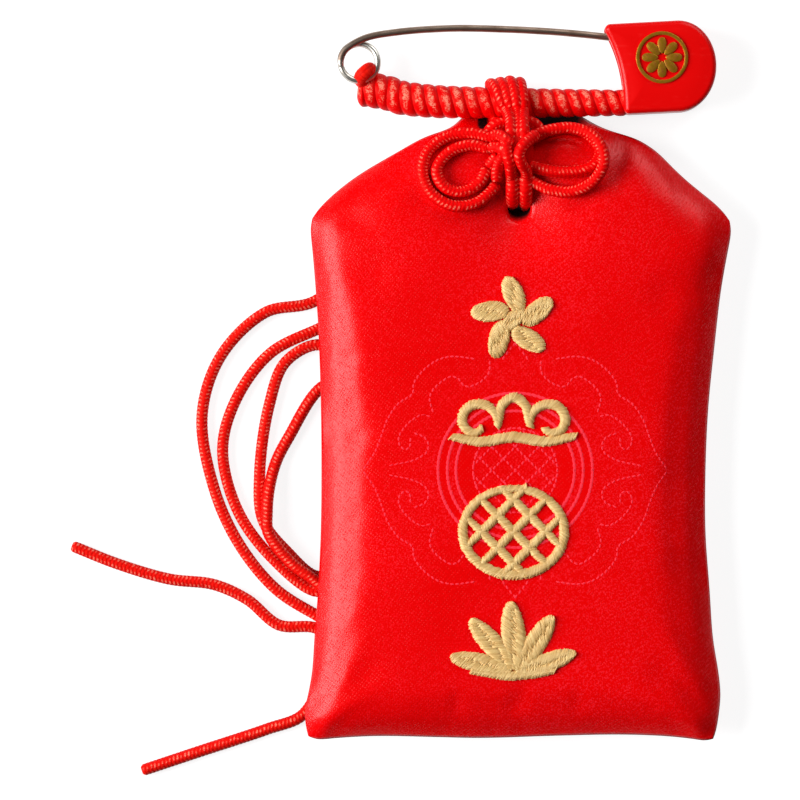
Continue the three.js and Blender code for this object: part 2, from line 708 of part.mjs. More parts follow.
// The plastic cap: a rounded plate with a hollow left edge, a slot open upwards and a bore for the wire
function buildCap() {
  const left = capLeft + capBevel;
  const right = capRight - capBevel;
  const top = capTop - capBevel;
  const bottom = capBottom + capBevel;
  const footX = left + capHollow;
  const noseAcross = capNose - capBevel;
  const noseUp = (top - bottom - capSlope) / 2;
  const shape = new THREE.Shape();
  shape.moveTo(footX, bottom);
  shape.absellipse(right - noseAcross, top - noseUp, noseAcross, noseUp, -Math.PI / 2, Math.PI / 2);
  shape.lineTo(left, top - capSlope / 2);
  shape.quadraticCurveTo(footX, top - capHollow, footX, bottom);
  const plateDepth = capThickness - 2 * capBevel;
  const block = new THREE.ExtrudeGeometry(shape, {
    depth: plateDepth,
    bevelThickness: capBevel,
    bevelSize: capBevel,
    bevelSegments: 3,
    curveSegments: 8,
  }).translate(0, 0, axisZ - plateDepth / 2);
  const slotHalf = slotWidth / 2;
  const past = capBevel;
  const slot = box(capLeft - past, slotEndX, slotFloorY, capTop + past, axisZ - slotHalf, axisZ + slotHalf);
  const boreDiameter = (wireDiameter + 2 * seat) / Math.cos(Math.PI / holeSides);
  const boreLength = wireEndX + seat - capLeft;
  const bore = new THREE.CylinderGeometry(boreDiameter / 2, boreDiameter / 2, boreLength, holeSides);
  bore.rotateZ(Math.PI / 2).translate(capLeft + boreLength / 2, sleeveY, axisZ);
  addPiece('pin_cap', cut(block, slot, bore), redPlastic);
}

// The folded steel clasp that lines the slot
function buildClasp() {
  const half = slotWidth / 2 - seat;
  const inner = half - claspThickness;
  const floor = slotFloorY + seat;
  const top = capTop - claspDrop;
  const left = capLeft + capHollow + claspInset;
  const folded = box(left, slotEndX - seat, floor, top, axisZ - half, axisZ + half);
  const gap = box(left - 1, slotEndX, floor + claspThickness, top + 1, axisZ - inner, axisZ + inner);
  addPiece('pin_clasp', cut(folded, gap), steel);
}

// The round gilt emblem on the cap's face
function buildEmblem() {
  const face = axisZ + capThickness / 2;
  const sides = 40;
  const x = capRight - emblemInset;
  const y = capTop - emblemDrop;
  const disc = upright(x, y, emblemDiameter, sides, face, face + emblemThickness);
  addPiece('cap_emblem', disc, goldFoil);
}

buildPanels();
buildFilling();
buildEmbroidery();
buildBow();
buildKnot();
buildHangers();
buildHoleStrands();
buildTails();
buildFixedWire();
buildSleeve();
buildArm();
buildCap();
buildClasp();
buildEmblem();

export default pouch;
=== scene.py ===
"""Looks of the amulet pouch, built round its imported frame.

A padded satin pouch hangs from a capped pin by a bow of braided cord. Sizes are in millimetres, and become
Blender's metres where a mesh is made.
"""

import logging
import math
from dataclasses import dataclass, field
from enum import Enum
from functools import lru_cache
from typing import Any, Callable, Iterable, Mapping, Sequence

import bmesh
import bpy
import numpy as np
from bpy.types import ID, Material, Mesh, Node, NodeSocket, NodeTree, Object
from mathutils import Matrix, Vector
from mathutils.bvhtree import BVHTree


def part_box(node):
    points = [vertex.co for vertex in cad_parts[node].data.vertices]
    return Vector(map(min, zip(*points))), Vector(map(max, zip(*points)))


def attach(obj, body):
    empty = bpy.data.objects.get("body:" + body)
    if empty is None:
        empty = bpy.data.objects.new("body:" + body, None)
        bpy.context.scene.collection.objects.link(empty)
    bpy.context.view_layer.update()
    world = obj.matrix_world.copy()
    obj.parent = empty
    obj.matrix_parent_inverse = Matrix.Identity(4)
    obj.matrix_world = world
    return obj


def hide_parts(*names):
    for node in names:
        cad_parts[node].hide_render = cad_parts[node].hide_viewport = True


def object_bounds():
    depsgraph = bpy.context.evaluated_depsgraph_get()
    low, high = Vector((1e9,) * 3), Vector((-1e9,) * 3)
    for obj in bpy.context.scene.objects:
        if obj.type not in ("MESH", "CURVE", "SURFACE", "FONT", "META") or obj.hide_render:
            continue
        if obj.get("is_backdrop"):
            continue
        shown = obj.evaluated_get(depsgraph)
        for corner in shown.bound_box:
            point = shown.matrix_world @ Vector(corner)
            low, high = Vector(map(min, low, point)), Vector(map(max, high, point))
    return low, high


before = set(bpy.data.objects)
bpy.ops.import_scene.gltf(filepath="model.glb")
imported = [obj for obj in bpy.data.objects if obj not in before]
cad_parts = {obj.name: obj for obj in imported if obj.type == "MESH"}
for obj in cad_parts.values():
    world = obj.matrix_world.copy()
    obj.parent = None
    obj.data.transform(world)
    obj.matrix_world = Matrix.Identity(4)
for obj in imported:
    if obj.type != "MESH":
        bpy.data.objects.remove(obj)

LOG = logging.getLogger("amulet_pouch")
MM = 0.001
SEED = 7
DOUBLE_GAP = 1e-7

Place = Sequence[float]
Line = Sequence[Place]
Pair = tuple[float, float]
Spot = tuple[float, float, float]
Faces = list[tuple[int, ...]]
Values = Mapping[str | int, Any]
Colour = tuple[float, float, float, float]


class Body(Enum):
    """The bodies that pieces ride on."""

    POUCH = "pouch"
    PIN = "pin"
    ARM = "pin_arm"


class Slot(Enum):
    """The record's material slots."""

    SATIN = "satin"
    WADDING = "wadding"
    CARD = "card"
    PAPER = "paper"
    THREAD = "gold_thread"
    CORD = "cord"
    STEEL = "steel"
    CAP = "cap"
    FOIL = "foil"


# Lines and meshes


def evenly(line: np.ndarray, step: float) -> np.ndarray:
    """Spreads points evenly along a line.

    Args:
        line: Points of the line.
        step: Distance between the new points.

    Returns:
        The new points, from the line's first to its last.
    """
    along = np.concatenate([[0.0], np.cumsum(np.linalg.norm(np.diff(line, axis=0), axis=1))])
    count = max(2, round(along[-1] / step) + 1)
    places = np.linspace(0, along[-1], count)
    return np.column_stack([np.interp(places, along, line[:, axis]) for axis in range(line.shape[1])])


def smooth_line(places: Line, step: float, span_steps: int = 24) -> np.ndarray:
    """Draws a centripetal spline through places.

    Args:
        places: Points that the line goes through.
        step: Distance between the points of the line.
        span_steps: Fine steps in each span before the points are spread evenly.

    Returns:
        Points along the line.
    """
    points = np.asarray(places, float)
    guide = np.vstack([2 * points[0] - points[1], points, 2 * points[-1] - points[-2]])
    gaps = np.sqrt(np.linalg.norm(np.diff(guide, axis=0), axis=1))
    t = np.linspace(0, 1, span_steps, endpoint=False)[:, None]
    spans = []
    for k in range(1, len(guide) - 2):
        before, start, end, after = guide[k - 1 : k + 3]
        d0, d1, d2 = gaps[k - 1 : k + 2]
        leave = ((start - before) / d0 - (end - before) / (d0 + d1) + (end - start) / d1) * d1
        arrive = ((end - start) / d1 - (after - start) / (d1 + d2) + (after - end) / d2) * d1
        rise = 3 * t**2 - 2 * t**3
        spans.append((1 - rise) * start + rise * end + (t**3 - 2 * t**2 + t) * leave + (t**3 - t**2) * arrive)
    return evenly(np.vstack([*spans, points[-1:]]), step)


def new_mesh(name: str, places: np.ndarray, faces: Iterable = (), edges: Iterable = ()) -> Mesh:
    """Makes a mesh.

    Args:
        name: The mesh's name.
        places: Its points in millimetres.
        faces: Numbers of each face's points.
        edges: Numbers of each edge's points.

    Returns:
        The mesh.
    """
    mesh = bpy.data.meshes.new(name)
    mesh.from_pydata((np.asarray(places, float) * MM).tolist(), list(edges), list(faces))
    return mesh


def line_mesh(name: str, lines: Sequence[np.ndarray]) -> Mesh:
    """Makes a mesh of edges along lines.

    Args:
        name: The mesh's name.
        lines: Lines of points in millimetres.

    Returns:
        The mesh, which holds the lines one after another.
    """
    edges = []
    start = 0
    for line in lines:
        edges += [(start + k, start + k + 1) for k in range(len(line) - 1)]
        start += len(line)
    return new_mesh(name, np.vstack(lines), edges=edges)


def new_piece(name: str, data: ID) -> Object:
    """Puts a mesh, a camera or a lamp into the scene as an object.

    Args:
        name: The object's name.
        data: The mesh, camera or lamp.

    Returns:
        The object.
    """
    piece = bpy.data.objects.new(name, data)
    bpy.context.scene.collection.objects.link(piece)
    return piece


def plain_mesh(piece: Object) -> Mesh:
    """Makes a plain mesh of what a piece looks like with its modifiers.

    Args:
        piece: The piece.

    Returns:
        The new mesh.
    """
    bpy.context.view_layer.update()
    depsgraph = bpy.context.evaluated_depsgraph_get()
    return bpy.data.meshes.new_from_object(
        piece.evaluated_get(depsgraph), preserve_all_data_layers=True, depsgraph=depsgraph
    )


def finish_shape(piece: Object) -> Object:
    """Applies a piece's modifiers to its mesh.

    Args:
        piece: The piece.

    Returns:
        The same piece.
    """
    mesh = plain_mesh(piece)
    piece.modifiers.clear()
    piece.data = mesh
    return piece


def subdivide(piece: Object, levels: int) -> None:
    """Rounds a piece's mesh by parting its faces a number of times.

    Args:
        piece: The piece.
        levels: How often each face is parted.
    """
    rounding = piece.modifiers.new("rounding", "SUBSURF")
    rounding.levels = rounding.render_levels = levels
    finish_shape(piece)


def mend(mesh: Mesh, gap: float = 0.0) -> Mesh:
    """Merges a mesh's doubled points and turns its faces outwards.

    Args:
        mesh: The mesh.
        gap: Widest gap between doubled points, in metres, or 0 where there are none.

    Returns:
        The mesh.
    """
    work = bmesh.new()
    work.from_mesh(mesh)
    if gap:
        bmesh.ops.remove_doubles(work, verts=work.verts, dist=gap)
        bmesh.ops.dissolve_degenerate(work, edges=work.edges, dist=gap)
    bmesh.ops.recalc_face_normals(work, faces=work.faces)
    work.to_mesh(mesh)
    work.free()
    return mesh


def shade_smooth(mesh: Mesh, crease_degrees: float = 180) -> None:
    """Shades a mesh smooth, with edges sharper than an angle left hard."""
    mesh.polygons.foreach_set("use_smooth", [True] * len(mesh.polygons))
    mesh.set_sharp_from_angle(angle=math.radians(crease_degrees))


def dress(mesh: Mesh, material: Material) -> None:
    """Gives a mesh one finish all over."""
    mesh.materials.clear()
    mesh.materials.append(material)


def places_of(mesh: Mesh, unit: float = MM) -> np.ndarray:
    """Places of a mesh's points, in a unit given in metres."""
    return np.array([vertex.co for vertex in mesh.vertices]) / unit


def keep_numbers(mesh: Mesh, name: str, values: Sequence[float], domain: str = "POINT") -> None:
    """Keeps a number of each of a mesh's points or edges under a name."""
    mark = mesh.attributes.new(name, "FLOAT", domain)
    mark.data.foreach_set("value", np.asarray(values, np.float32))


def near_mean(grid: np.ndarray) -> np.ndarray:
    """Mean of the four neighbours of each place in a grid."""
    return (np.roll(grid, 1, 0) + np.roll(grid, -1, 0) + np.roll(grid, 1, 1) + np.roll(grid, -1, 1)) / 4


def band(low: int, high: int, count: int) -> Faces:
    """Makes the faces between two closed rings of points.

    Args:
        low: Number of the first ring's first point.
        high: Number of the second ring's first point.
        count: Points in each ring.

    Returns:
        Numbers of each face's points.
    """
    pairs = [(k, (k + 1) % count) for k in range(count)]
    return [(low + here, low + there, high + there, high + here) for here, there in pairs]


def place_piece(piece: Object, body: Body, slot: Slot, *nodes: str) -> None:
    """Puts a piece on its body and lets it stand for its nodes.

    Args:
        piece: The finished piece.
        body: Body that it rides on.
        slot: Not used.
        nodes: Nodes that it stands for.
    """
    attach(piece, body.value)
    if nodes:
        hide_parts(*nodes)
    LOG.info("%s rides on %s, %d faces", piece.name, body.value, len(piece.data.polygons))


# Node trees


def operator(operation: str, turned: bool = False) -> Callable[..., "Term"]:
    """Makes a method of terms that adds a Math node.

    Args:
        operation: The node's operation.
        turned: Whether the term comes after the other value.

    Returns:
        The method.
    """

    def added(term: "Term", *others: Any) -> "Term":
        """Adds the node and gives its value."""
        return term.bench.math(operation, *((*others, term) if turned else (term, *others)))

    return added


class Term:
    """A socket of a node tree, with arithmetic that adds Math nodes."""

    __add__ = __radd__ = operator("ADD")
    __sub__ = operator("SUBTRACT")
    __rsub__ = operator("SUBTRACT", turned=True)
    __mul__ = __rmul__ = operator("MULTIPLY")
    __truediv__ = operator("DIVIDE")
    __pow__ = operator("POWER")
    __mod__ = operator("FLOORED_MODULO")
    sine = operator("SINE")
    floor = operator("FLOOR")
    fraction = operator("FRACT")
    least = operator("MINIMUM")
    most = operator("MAXIMUM")

    def __init__(self, bench: "Bench", socket: NodeSocket) -> None:
        """Keeps the socket and the bench that its tree is on."""
        self.bench = bench
        self.socket = socket

    def between(self, low: float, high: float) -> "Term":
        """Share of the way from low to high, held from 0 to 1."""
        return ((self - low) / (high - low)).most(0.0).least(1.0)


class Bench:
    """One node tree and the ways to add to it."""

    def __init__(self, tree: NodeTree) -> None:
        """Keeps the tree."""
        self.tree = tree

    def add(self, kind: str, settings: Values | None = None, sockets: Values | None = None) -> Node:
        """Adds a node.

        Args:
            kind: The node's type.
            settings: Its own settings, such as an operation, which are set first.
            sockets: Values or links of its inputs, by name or number.

        Returns:
            The node.
        """
        node = self.tree.nodes.new(kind)
        for name, value in (settings or {}).items():
            setattr(node, name, value)
        for name, value in (sockets or {}).items():
            self.feed(node.inputs[name], value)
        return node

    def feed(self, socket: NodeSocket, value: Any) -> None:
        """Links an input to a term, or sets it to a plain value.

        Args:
            socket: The input.
            value: The term or the plain value.
        """
        if isinstance(value, Term):
            self.tree.links.new(value.socket, socket)
        else:
            socket.default_value = value

    def term(
        self, kind: str, settings: Values | None = None, sockets: Values | None = None, output: str | int = 0
    ) -> Term:
        """Adds a node and gives one of its outputs."""
        return Term(self, self.add(kind, settings, sockets).outputs[output])

    def math(self, operation: str, *values: Any) -> Term:
        """Adds a Math node."""
        return self.term("ShaderNodeMath", {"operation": operation}, dict(enumerate(values)))

    def mix(self, share: Any, low: Any, high: Any) -> Term:
        """Mixes two colours by a share."""
        settings = {"data_type": "RGBA", "blend_type": "MIX"}
        return self.term("ShaderNodeMix", settings, {0: share, 6: low, 7: high}, 2)


class Growth:
    """A geometry node tree with named inputs, which grows a plain mesh from a host mesh."""

    def __init__(self, name: str, inputs: Mapping[str, str]) -> None:
        """Makes the tree.

        Args:
            name: Name of the tree.
            inputs: Kind of socket of each named input.
        """
        self.tree = bpy.data.node_groups.new(name, "GeometryNodeTree")
        for way in ("INPUT", "OUTPUT"):
            self.tree.interface.new_socket("Geometry", in_out=way, socket_type="NodeSocketGeometry")
        for label, kind in {**inputs, "Material": "Material"}.items():
            self.tree.interface.new_socket(label, in_out="INPUT", socket_type=f"NodeSocket{kind}")
        self.bench = Bench(self.tree)
        entry = self.bench.add("NodeGroupInput")
        self.given = {socket.name: Term(self.bench, socket) for socket in entry.outputs if socket.name}
        grown = self.bench.term("GeometryNodeRealizeInstances", None, {"Geometry": self.build()})
        smooth = self.bench.term("GeometryNodeSetShadeSmooth", None, {"Geometry": grown})
        sockets = {"Geometry": smooth, "Material": self.given["Material"]}
        dressed = self.bench.term("GeometryNodeSetMaterial", None, sockets)
        self.bench.add("NodeGroupOutput", None, {0: dressed})

    def build(self) -> Term:
        """Adds the nodes between the inputs and the finished geometry."""
        raise NotImplementedError

    def lines(self, mode: str, amount: str) -> Term:
        """Turns the host's edges into curves with points spread along them.

        Args:
            mode: What the spread goes by, LENGTH or COUNT.
            amount: Name of the input that holds that length or count.

        Returns:
            The curves.
        """
        curves = self.bench.term("GeometryNodeMeshToCurve", None, {"Mesh": self.given["Geometry"]})
        sockets = {"Curve": curves, mode.title(): self.given[amount]}
        return self.bench.term("GeometryNodeResampleCurve", {"mode": mode}, sockets)

    def ring(self) -> Term:
        """A circle of the given radius and number of sides."""
        sockets = {"Resolution": self.given["Sides"], "Radius": self.given["Radius"]}
        return self.bench.term("GeometryNodeCurvePrimitiveCircle", {"mode": "RADIUS"}, sockets)

    def swept(self, line: Term, ring: Term) -> Term:
        """Closed tubes with the outline of a ring along lines."""
        sockets = {"Curve": line, "Profile Curve": ring, "Fill Caps": True}
        return self.bench.term("GeometryNodeCurveToMesh", None, sockets)

    def stored(self, geometry: Term, name: str, value: Term) -> Term:
        """Keeps a number of each point under a name.

        Args:
            geometry: The points.
            name: The number's name.
            value: The number.

        Returns:
            The points with the number.
        """
        settings = {"data_type": "FLOAT", "domain": "POINT"}
        sockets = {"Geometry": geometry, "Name": name, "Value": value}
        return self.bench.term("GeometryNodeStoreNamedAttribute", settings, sockets)

    def kept(self, name: str) -> Term:
        """A number that was kept under a name."""
        return self.bench.term("GeometryNodeInputNamedAttribute", {"data_type": "FLOAT"}, {"Name": name})

    def grow(self, name: str, host: Mesh, values: Mapping[str, Any]) -> Object:
        """Runs the tree on a host mesh.

        Args:
            name: Name of the new piece.
            host: Mesh that the tree starts from.
            values: Values of the named inputs.

        Returns:
            The new piece, with a plain mesh.
        """
        seed = new_piece(name, host)
        modifier = seed.modifiers.new("growth", "NODES")
        modifier.node_group = self.tree
        for item in self.tree.interface.items_tree:
            if item.name in values:
                modifier[item.identifier] = values[item.name]
        return finish_shape(seed)


class StrandGrowth(Growth):
    """Round strands along lines, with the over and under of a braid on them."""

    title = "braided_strand"
    sizes = ("Radius", "Lead", "Slant", "Relief", "Step", "Seal", "Taper", "Phase", "Columns")
    level = 0.6
    end_draw = 0.85

    def __init__(self) -> None:
        """Names the inputs."""
        super().__init__(self.title, {**dict.fromkeys(self.sizes, "Float"), "Sides": "Int"})

    def build(self) -> Term:
        """Sweeps a circle along each line and raises its braid.

        Returns:
            The cord's geometry.
        """
        bench = self.bench
        line = self.lines("LENGTH", "Step")
        spot = bench.add("GeometryNodeSplineParameter")
        along = Term(bench, spot.outputs["Length"])
        whole = bench.term("GeometryNodeSplineLength")
        line = self.stored(line, "along", along)
        line = self.stored(line, "share", Term(bench, spot.outputs["Factor"]))
        line = self.stored(line, "from_end", along.least(whole - along))
        ring = self.stored(self.ring(), "turn", bench.term("GeometryNodeSplineParameter", output="Factor"))
        tube = self.swept(line, ring)
        crest, dash = self._braid()
        tube = self.stored(tube, "crest", crest)
        tube = self.stored(tube, "dash", dash)
        offset = bench.term(
            "ShaderNodeVectorMath",
            {"operation": "SCALE"},
            {0: bench.term("GeometryNodeInputNormal"), "Scale": self._rise()},
        )
        return bench.term("GeometryNodeSetPosition", None, {"Geometry": tube, "Offset": offset})

    def _braid(self) -> tuple[Term, Term]:
        """The braid at a place.

        Returns:
            Its height, from 0 between strands to 1 on top of one, and how far the place lies on the
            painted highlight dash of each strand.
        """
        given = self.given
        turn = (self.kept("turn") + given["Phase"]) * given["Columns"]
        across = turn.fraction()
        odd = turn.floor() % 2.0
        inward = across * odd + (1.0 - across) * (1.0 - odd)
        way = self.kept("along") / given["Lead"] - (0.5 - inward) * given["Slant"]
        strand = (way.fraction() * math.pi).sine()
        crest = strand**0.6 * (1.0 - inward**6.0) ** 0.5
        # Painted highlight: where the finish paints each strand's bright dash.
        dash = strand**3.0 * (inward**0.8 * math.pi).sine() ** 3.0
        return crest, dash

    def _rise(self) -> Term:
        """How far the surface moves off the plain tube: the braid, the taper and the rounded ends.

        Returns:
            The distance at each point.
        """
        given = self.given
        braid = (self.kept("crest") - self.level) * given["Relief"]
        taper = (0.5 - self.kept("share")) * given["Taper"]
        inward = (self.kept("from_end") / given["Seal"]).least(1.0)
        rounded = (1.0 - (1.0 - inward) ** 2.0) ** 0.5
        return braid * inward + taper - (1.0 - rounded) * given["Radius"] * self.end_draw


class WoundGrowth(StrandGrowth):
    """A core along a line with two cords wound round it side by side."""

    title = "wound_strand"
    sizes = ("Radius", "Lead", "Relief", "Step", "Seal", "Taper", "Phase")
    starts = 2.0
    # The part of each turn that gets the painted highlight, on the side where light falls.
    highlight_turn = (0.5, 0.92)

    def _braid(self) -> tuple[Term, Term]:
        """The winding at a place.

        Returns:
            Its height, and how far the place lies on the painted highlight streak on the upper side of a
            turn.
        """
        turn = (self.kept("turn") + self.given["Phase"]).fraction()
        strand = ((self.kept("along") / self.given["Lead"] - turn * self.starts).fraction() * math.pi).sine()
        # Painted highlight: a streak on the upper side of each turn.
        wear_and_highlight = (turn.between(*self.highlight_turn) * math.pi).sine()
        return strand**0.5, strand**2.0 * wear_and_highlight


class ThreadGrowth(Growth):
    """Threads that arch from one end of each edge to the other."""

    def __init__(self) -> None:
        """Names the inputs."""
        sizes = {"Radius": "Float", "Lift": "Float", "Steps": "Int", "Sides": "Int"}
        super().__init__("stitched_thread", sizes)

    def build(self) -> Term:
        """Turns each edge into an arched thread with a tone of its own.

        Returns:
            The threads' geometry.
        """
        bench = self.bench
        line = self.lines("COUNT", "Steps")
        share = bench.term("GeometryNodeSplineParameter", output="Factor")
        arch = (1.0 - (share * 2.0 - 1.0) ** 4.0) * self.given["Lift"]
        lift = bench.term("ShaderNodeCombineXYZ", None, {"Z": arch})
        line = bench.term("GeometryNodeSetPosition", None, {"Geometry": line, "Offset": lift})
        stitch = bench.term("GeometryNodeCurveOfPoint", output="Curve Index")
        chance = {"ID": stitch, "Seed": SEED, 2: 0.0, 3: 1.0}
        tone = bench.term("FunctionNodeRandomValue", {"data_type": "FLOAT"}, chance, 1)
        return self.swept(self.stored(line, "tone", tone), self.ring())


class DashGrowth(Growth):
    """Short floating threads set along lines, which lean towards the length of the cloth."""

    lean = (0.55, 1.0, 1.0)

    def __init__(self) -> None:
        """Names the inputs."""
        super().__init__("floating_dash", dict.fromkeys(("Pitch", "Length", "Width", "Thickness"), "Float"))

    def build(self) -> Term:
        """Sets a small long bead at each pitch along the lines.

        Returns:
            The beads' geometry.
        """
        bench, given = self.bench, self.given
        bead = bench.term("GeometryNodeMeshIcoSphere", None, {"Radius": 0.5, "Subdivisions": 2})
        tangent = bench.term("GeometryNodeInputTangent")
        upright = bench.term("ShaderNodeVectorMath", {"operation": "MULTIPLY"}, {0: tangent, 1: self.lean})
        turned = bench.term("FunctionNodeAlignRotationToVector", {"axis": "X"}, {"Vector": upright})
        breadth = self.kept("breadth")
        size = {"X": given["Length"] * breadth, "Y": given["Width"] * breadth, "Z": given["Thickness"]}
        sockets = {
            "Points": self.lines("LENGTH", "Pitch"),
            "Instance": bead,
            "Rotation": turned,
            "Scale": bench.term("ShaderNodeCombineXYZ", None, size),
        }
        return bench.term("GeometryNodeInstanceOnPoints", None, sockets)


# Finishes


def srgb(red: float, green: float, blue: float) -> Colour:
    """A colour that is seen as these values of 0 to 255, as linear light.

    Args:
        red: The red value.
        green: The green value.
        blue: The blue value.

    Returns:
        The opaque colour.
    """
    parts = [value / 255 for value in (red, green, blue)]
    linear = [part / 12.92 if part <= 0.04045 else ((part + 0.055) / 1.055) ** 2.4 for part in parts]
    return (*linear, 1.0)


def grey(level: float) -> Colour:
    """A grey of a level of linear light."""
    return (level, level, level, 1.0)


class Surface:
    """A material with a Principled shader, and the ways to give it detail."""

    def __init__(self, name: str, **constants: Any) -> None:
        """Makes the material.

        Args:
            name: The material's name.
            constants: Values that are the same all over, by the shader's socket with _ for a space.
        """
        self.material = bpy.data.materials.new(name)
        self.material.use_nodes = True
        self.bench = Bench(self.material.node_tree)
        self.shader = self.material.node_tree.nodes["Principled BSDF"]
        self.set(**constants)

    def set(self, **sockets: Any) -> None:
        """Sets or links sockets of the shader, named as the constants are."""
        for name, value in sockets.items():
            title = name.replace("_", " ").title().replace("Ior", "IOR")
            self.bench.feed(self.shader.inputs[title], value)

    def place(self) -> Term:
        """Object coordinates."""
        return self.bench.term("ShaderNodeTexCoord", output="Object")

    def noise(self, size: float, detail: float = 2.0, stretch: Place = (1, 1, 1)) -> Term:
        """Adds noise.

        Args:
            size: Size of its grains in millimetres.
            detail: How many finer layers it has.
            stretch: How far the grains are drawn out along each axis.

        Returns:
            The noise, about 0.5.
        """
        scale = {"Vector": self.place(), "Scale": [1 / (size * MM * axis) for axis in stretch]}
        where = self.bench.term("ShaderNodeMapping", None, scale)
        sockets = {"Vector": where, "Scale": 1.0, "Detail": detail}
        return self.bench.term("ShaderNodeTexNoise", None, sockets)

    def attribute(self, name: str) -> Term:
        """A number kept on the mesh."""
        return self.bench.term("ShaderNodeAttribute", {"attribute_name": name}, output="Fac")

    def bump(self, height: Term, depth: float, strength: float = 1.0) -> None:
        """Lets a height from 0 to 1, of a depth in millimetres, tilt the surface."""
        sockets = {"Height": height, "Distance": depth * MM, "Strength": strength}
        self.set(normal=self.bench.term("ShaderNodeBump", None, sockets))


@dataclass(frozen=True)
class Satin:
    """Red damask satin with a fine twill line, painted glints on its specks, and painted shade in the hole
    and the mouth.
    """

    face: Colour = srgb(250, 0, 2)
    shade: Colour = srgb(226, 0, 1)
    # Painted glint: light pink mixed in at the specks, standing in for the lamps' sparkle on the weave.
    painted_glint: Colour = srgb(255, 48, 66)
    # Painted shade: near black for the hole and the mouth behind the pin, where shadow falls.
    painted_shade: Colour = srgb(16, 0, 0)
    tint: Colour = srgb(255, 184, 186)
    twill_pitch: float = 0.5
    dot_pitch: float = 0.38
    grain: float = 0.27
    stray: Pair = (1.4, 0.12)
    patch: float = 0.7
    cloud: float = 16.0
    painted_shade_edge: Pair = (0.02, 0.3)

    @lru_cache
    def material(self) -> Material:
        """Makes the material.

        Returns:
            The finish's material.
        """
        surface = Surface("damask_satin", specular_ior_level=0.36, specular_tint=self.tint)
        bench = surface.bench
        weave = bench.term("ShaderNodeUVMap", {"uv_map": "weave"})
        parts = bench.add("ShaderNodeSeparateXYZ", None, {0: weave})
        across, along = (Term(bench, parts.outputs[k]) for k in range(2))
        stray_size, stray_reach = self.stray
        stray = surface.noise(stray_size, 1.0) * stray_reach
        rows = ((along - across) * math.sqrt(0.5) + stray) * (2 * math.pi / self.twill_pitch)
        dots = ((along + across) * math.sqrt(0.5) + stray) * (2 * math.pi / self.dot_pitch)
        pit = ((rows.sine() * 0.5 + 0.5) * (dots.sine() * 0.5 + 0.5)).between(0.25, 0.75)
        pit = pit * surface.noise(self.patch, 1.0).between(0.38, 0.62)
        figure = surface.attribute("figure")
        # Specks that carry the painted glint; they also lighten the tone and tilt the bump.
        glint_speck = surface.noise(self.grain, 1.0).between(0.5, 0.68)
        field = 1.0 - figure * 0.85
        cloud = surface.noise(self.cloud, 1.0).between(0.3, 0.7)
        # Tone from shade to face: random cloud, painted shade in the weave's pits and painted sparkle at the
        # specks.
        tone = (0.2 - pit * 0.15 + glint_speck * field * 0.45 + cloud * 0.35).least(1.0)
        colour = bench.mix(tone, self.shade, self.face)
        colour = bench.mix(glint_speck * field * (cloud * 0.4 + 0.02), colour, self.painted_glint)
        # Painted shade: the hole and the mouth go near black and rough.
        dark = surface.attribute("painted_shade").between(*self.painted_shade_edge)
        colour = bench.mix(dark, colour, self.painted_shade)
        surface.set(base_color=colour, roughness=(0.25 + pit * 0.25 + dark * 0.66).least(1.0))
        surface.bump(glint_speck * field * 0.3 - pit * 0.7, 0.06, 0.4)
        return surface.material


@dataclass(frozen=True)
class FloatThread:
    """The lighter floats that draw the woven figure."""

    colour: Colour = srgb(255, 68, 86)
    shade: Colour = srgb(254, 36, 52)
    tint: Colour = srgb(255, 120, 130)
    streak: float = 0.25

    @lru_cache
    def material(self) -> Material:
        """Makes the material.

        Returns:
            The finish's material.
        """
        surface = Surface("woven_float", specular_ior_level=0.4, specular_tint=self.tint)
        streak = surface.noise(self.streak)
        colour = surface.bench.mix(streak, self.shade, self.colour)
        surface.set(base_color=colour, roughness=0.35 + streak * 0.15)
        return surface.material


@dataclass(frozen=True)
class Braid:
    """Red braided cord, with painted highlights where its strands come to the top and painted shade in its
    grooves.
    """

    name: str = "braided_cord"
    # Painted highlight colour for the strand tops, and painted shade colour for the grooves.
    top: Colour = srgb(255, 136, 112)
    body: Colour = srgb(238, 0, 4)
    groove_shade: Colour = srgb(204, 0, 2)
    tint: Colour = srgb(255, 150, 130)
    fibre: float = 0.14
    patch: float = 0.8
    dash: Pair = (0.2, 0.6)
    roughness: float = 0.42

    @lru_cache
    def material(self) -> Material:
        """Makes the material.

        Returns:
            The finish's material.
        """
        surface = Surface(self.name, specular_ior_level=0.18, specular_tint=self.tint)
        fibre = surface.noise(self.fibre, 2.0)
        # Painted shade: the body darkens down into the grooves between the strands.
        colour = surface.bench.mix(surface.attribute("crest").between(0.1, 0.7), self.groove_shade, self.body)
        patch = surface.noise(self.patch, 1.0).between(0.38, 0.6)
        # Painted highlight: the top colour on each strand's dash, broken up by fibre and patch noise.
        dash = surface.attribute("dash") * (fibre.between(0.36, 0.6) * 0.8 + 0.2) * (patch * 0.65 + 0.35)
        colour = surface.bench.mix(dash.between(*self.dash), colour, self.top)
        surface.set(base_color=colour, roughness=self.roughness + fibre * 0.2)
        surface.bump(fibre, 0.03, 0.7)
        return surface.material


TIED_CORD = Braid()
LOOSE_CORD = Braid("loose_cord", body=srgb(238, 18, 10), dash=(0.14, 0.48))
SLEEVE_CORD = Braid("braided_sleeve", fibre=0.2, patch=0.9, dash=(0.18, 0.62), roughness=0.36)
HITCHED_CORD = Braid("tie_cord", body=srgb(240, 26, 14), groove_shade=srgb(206, 8, 4), dash=(0.3, 2.0))


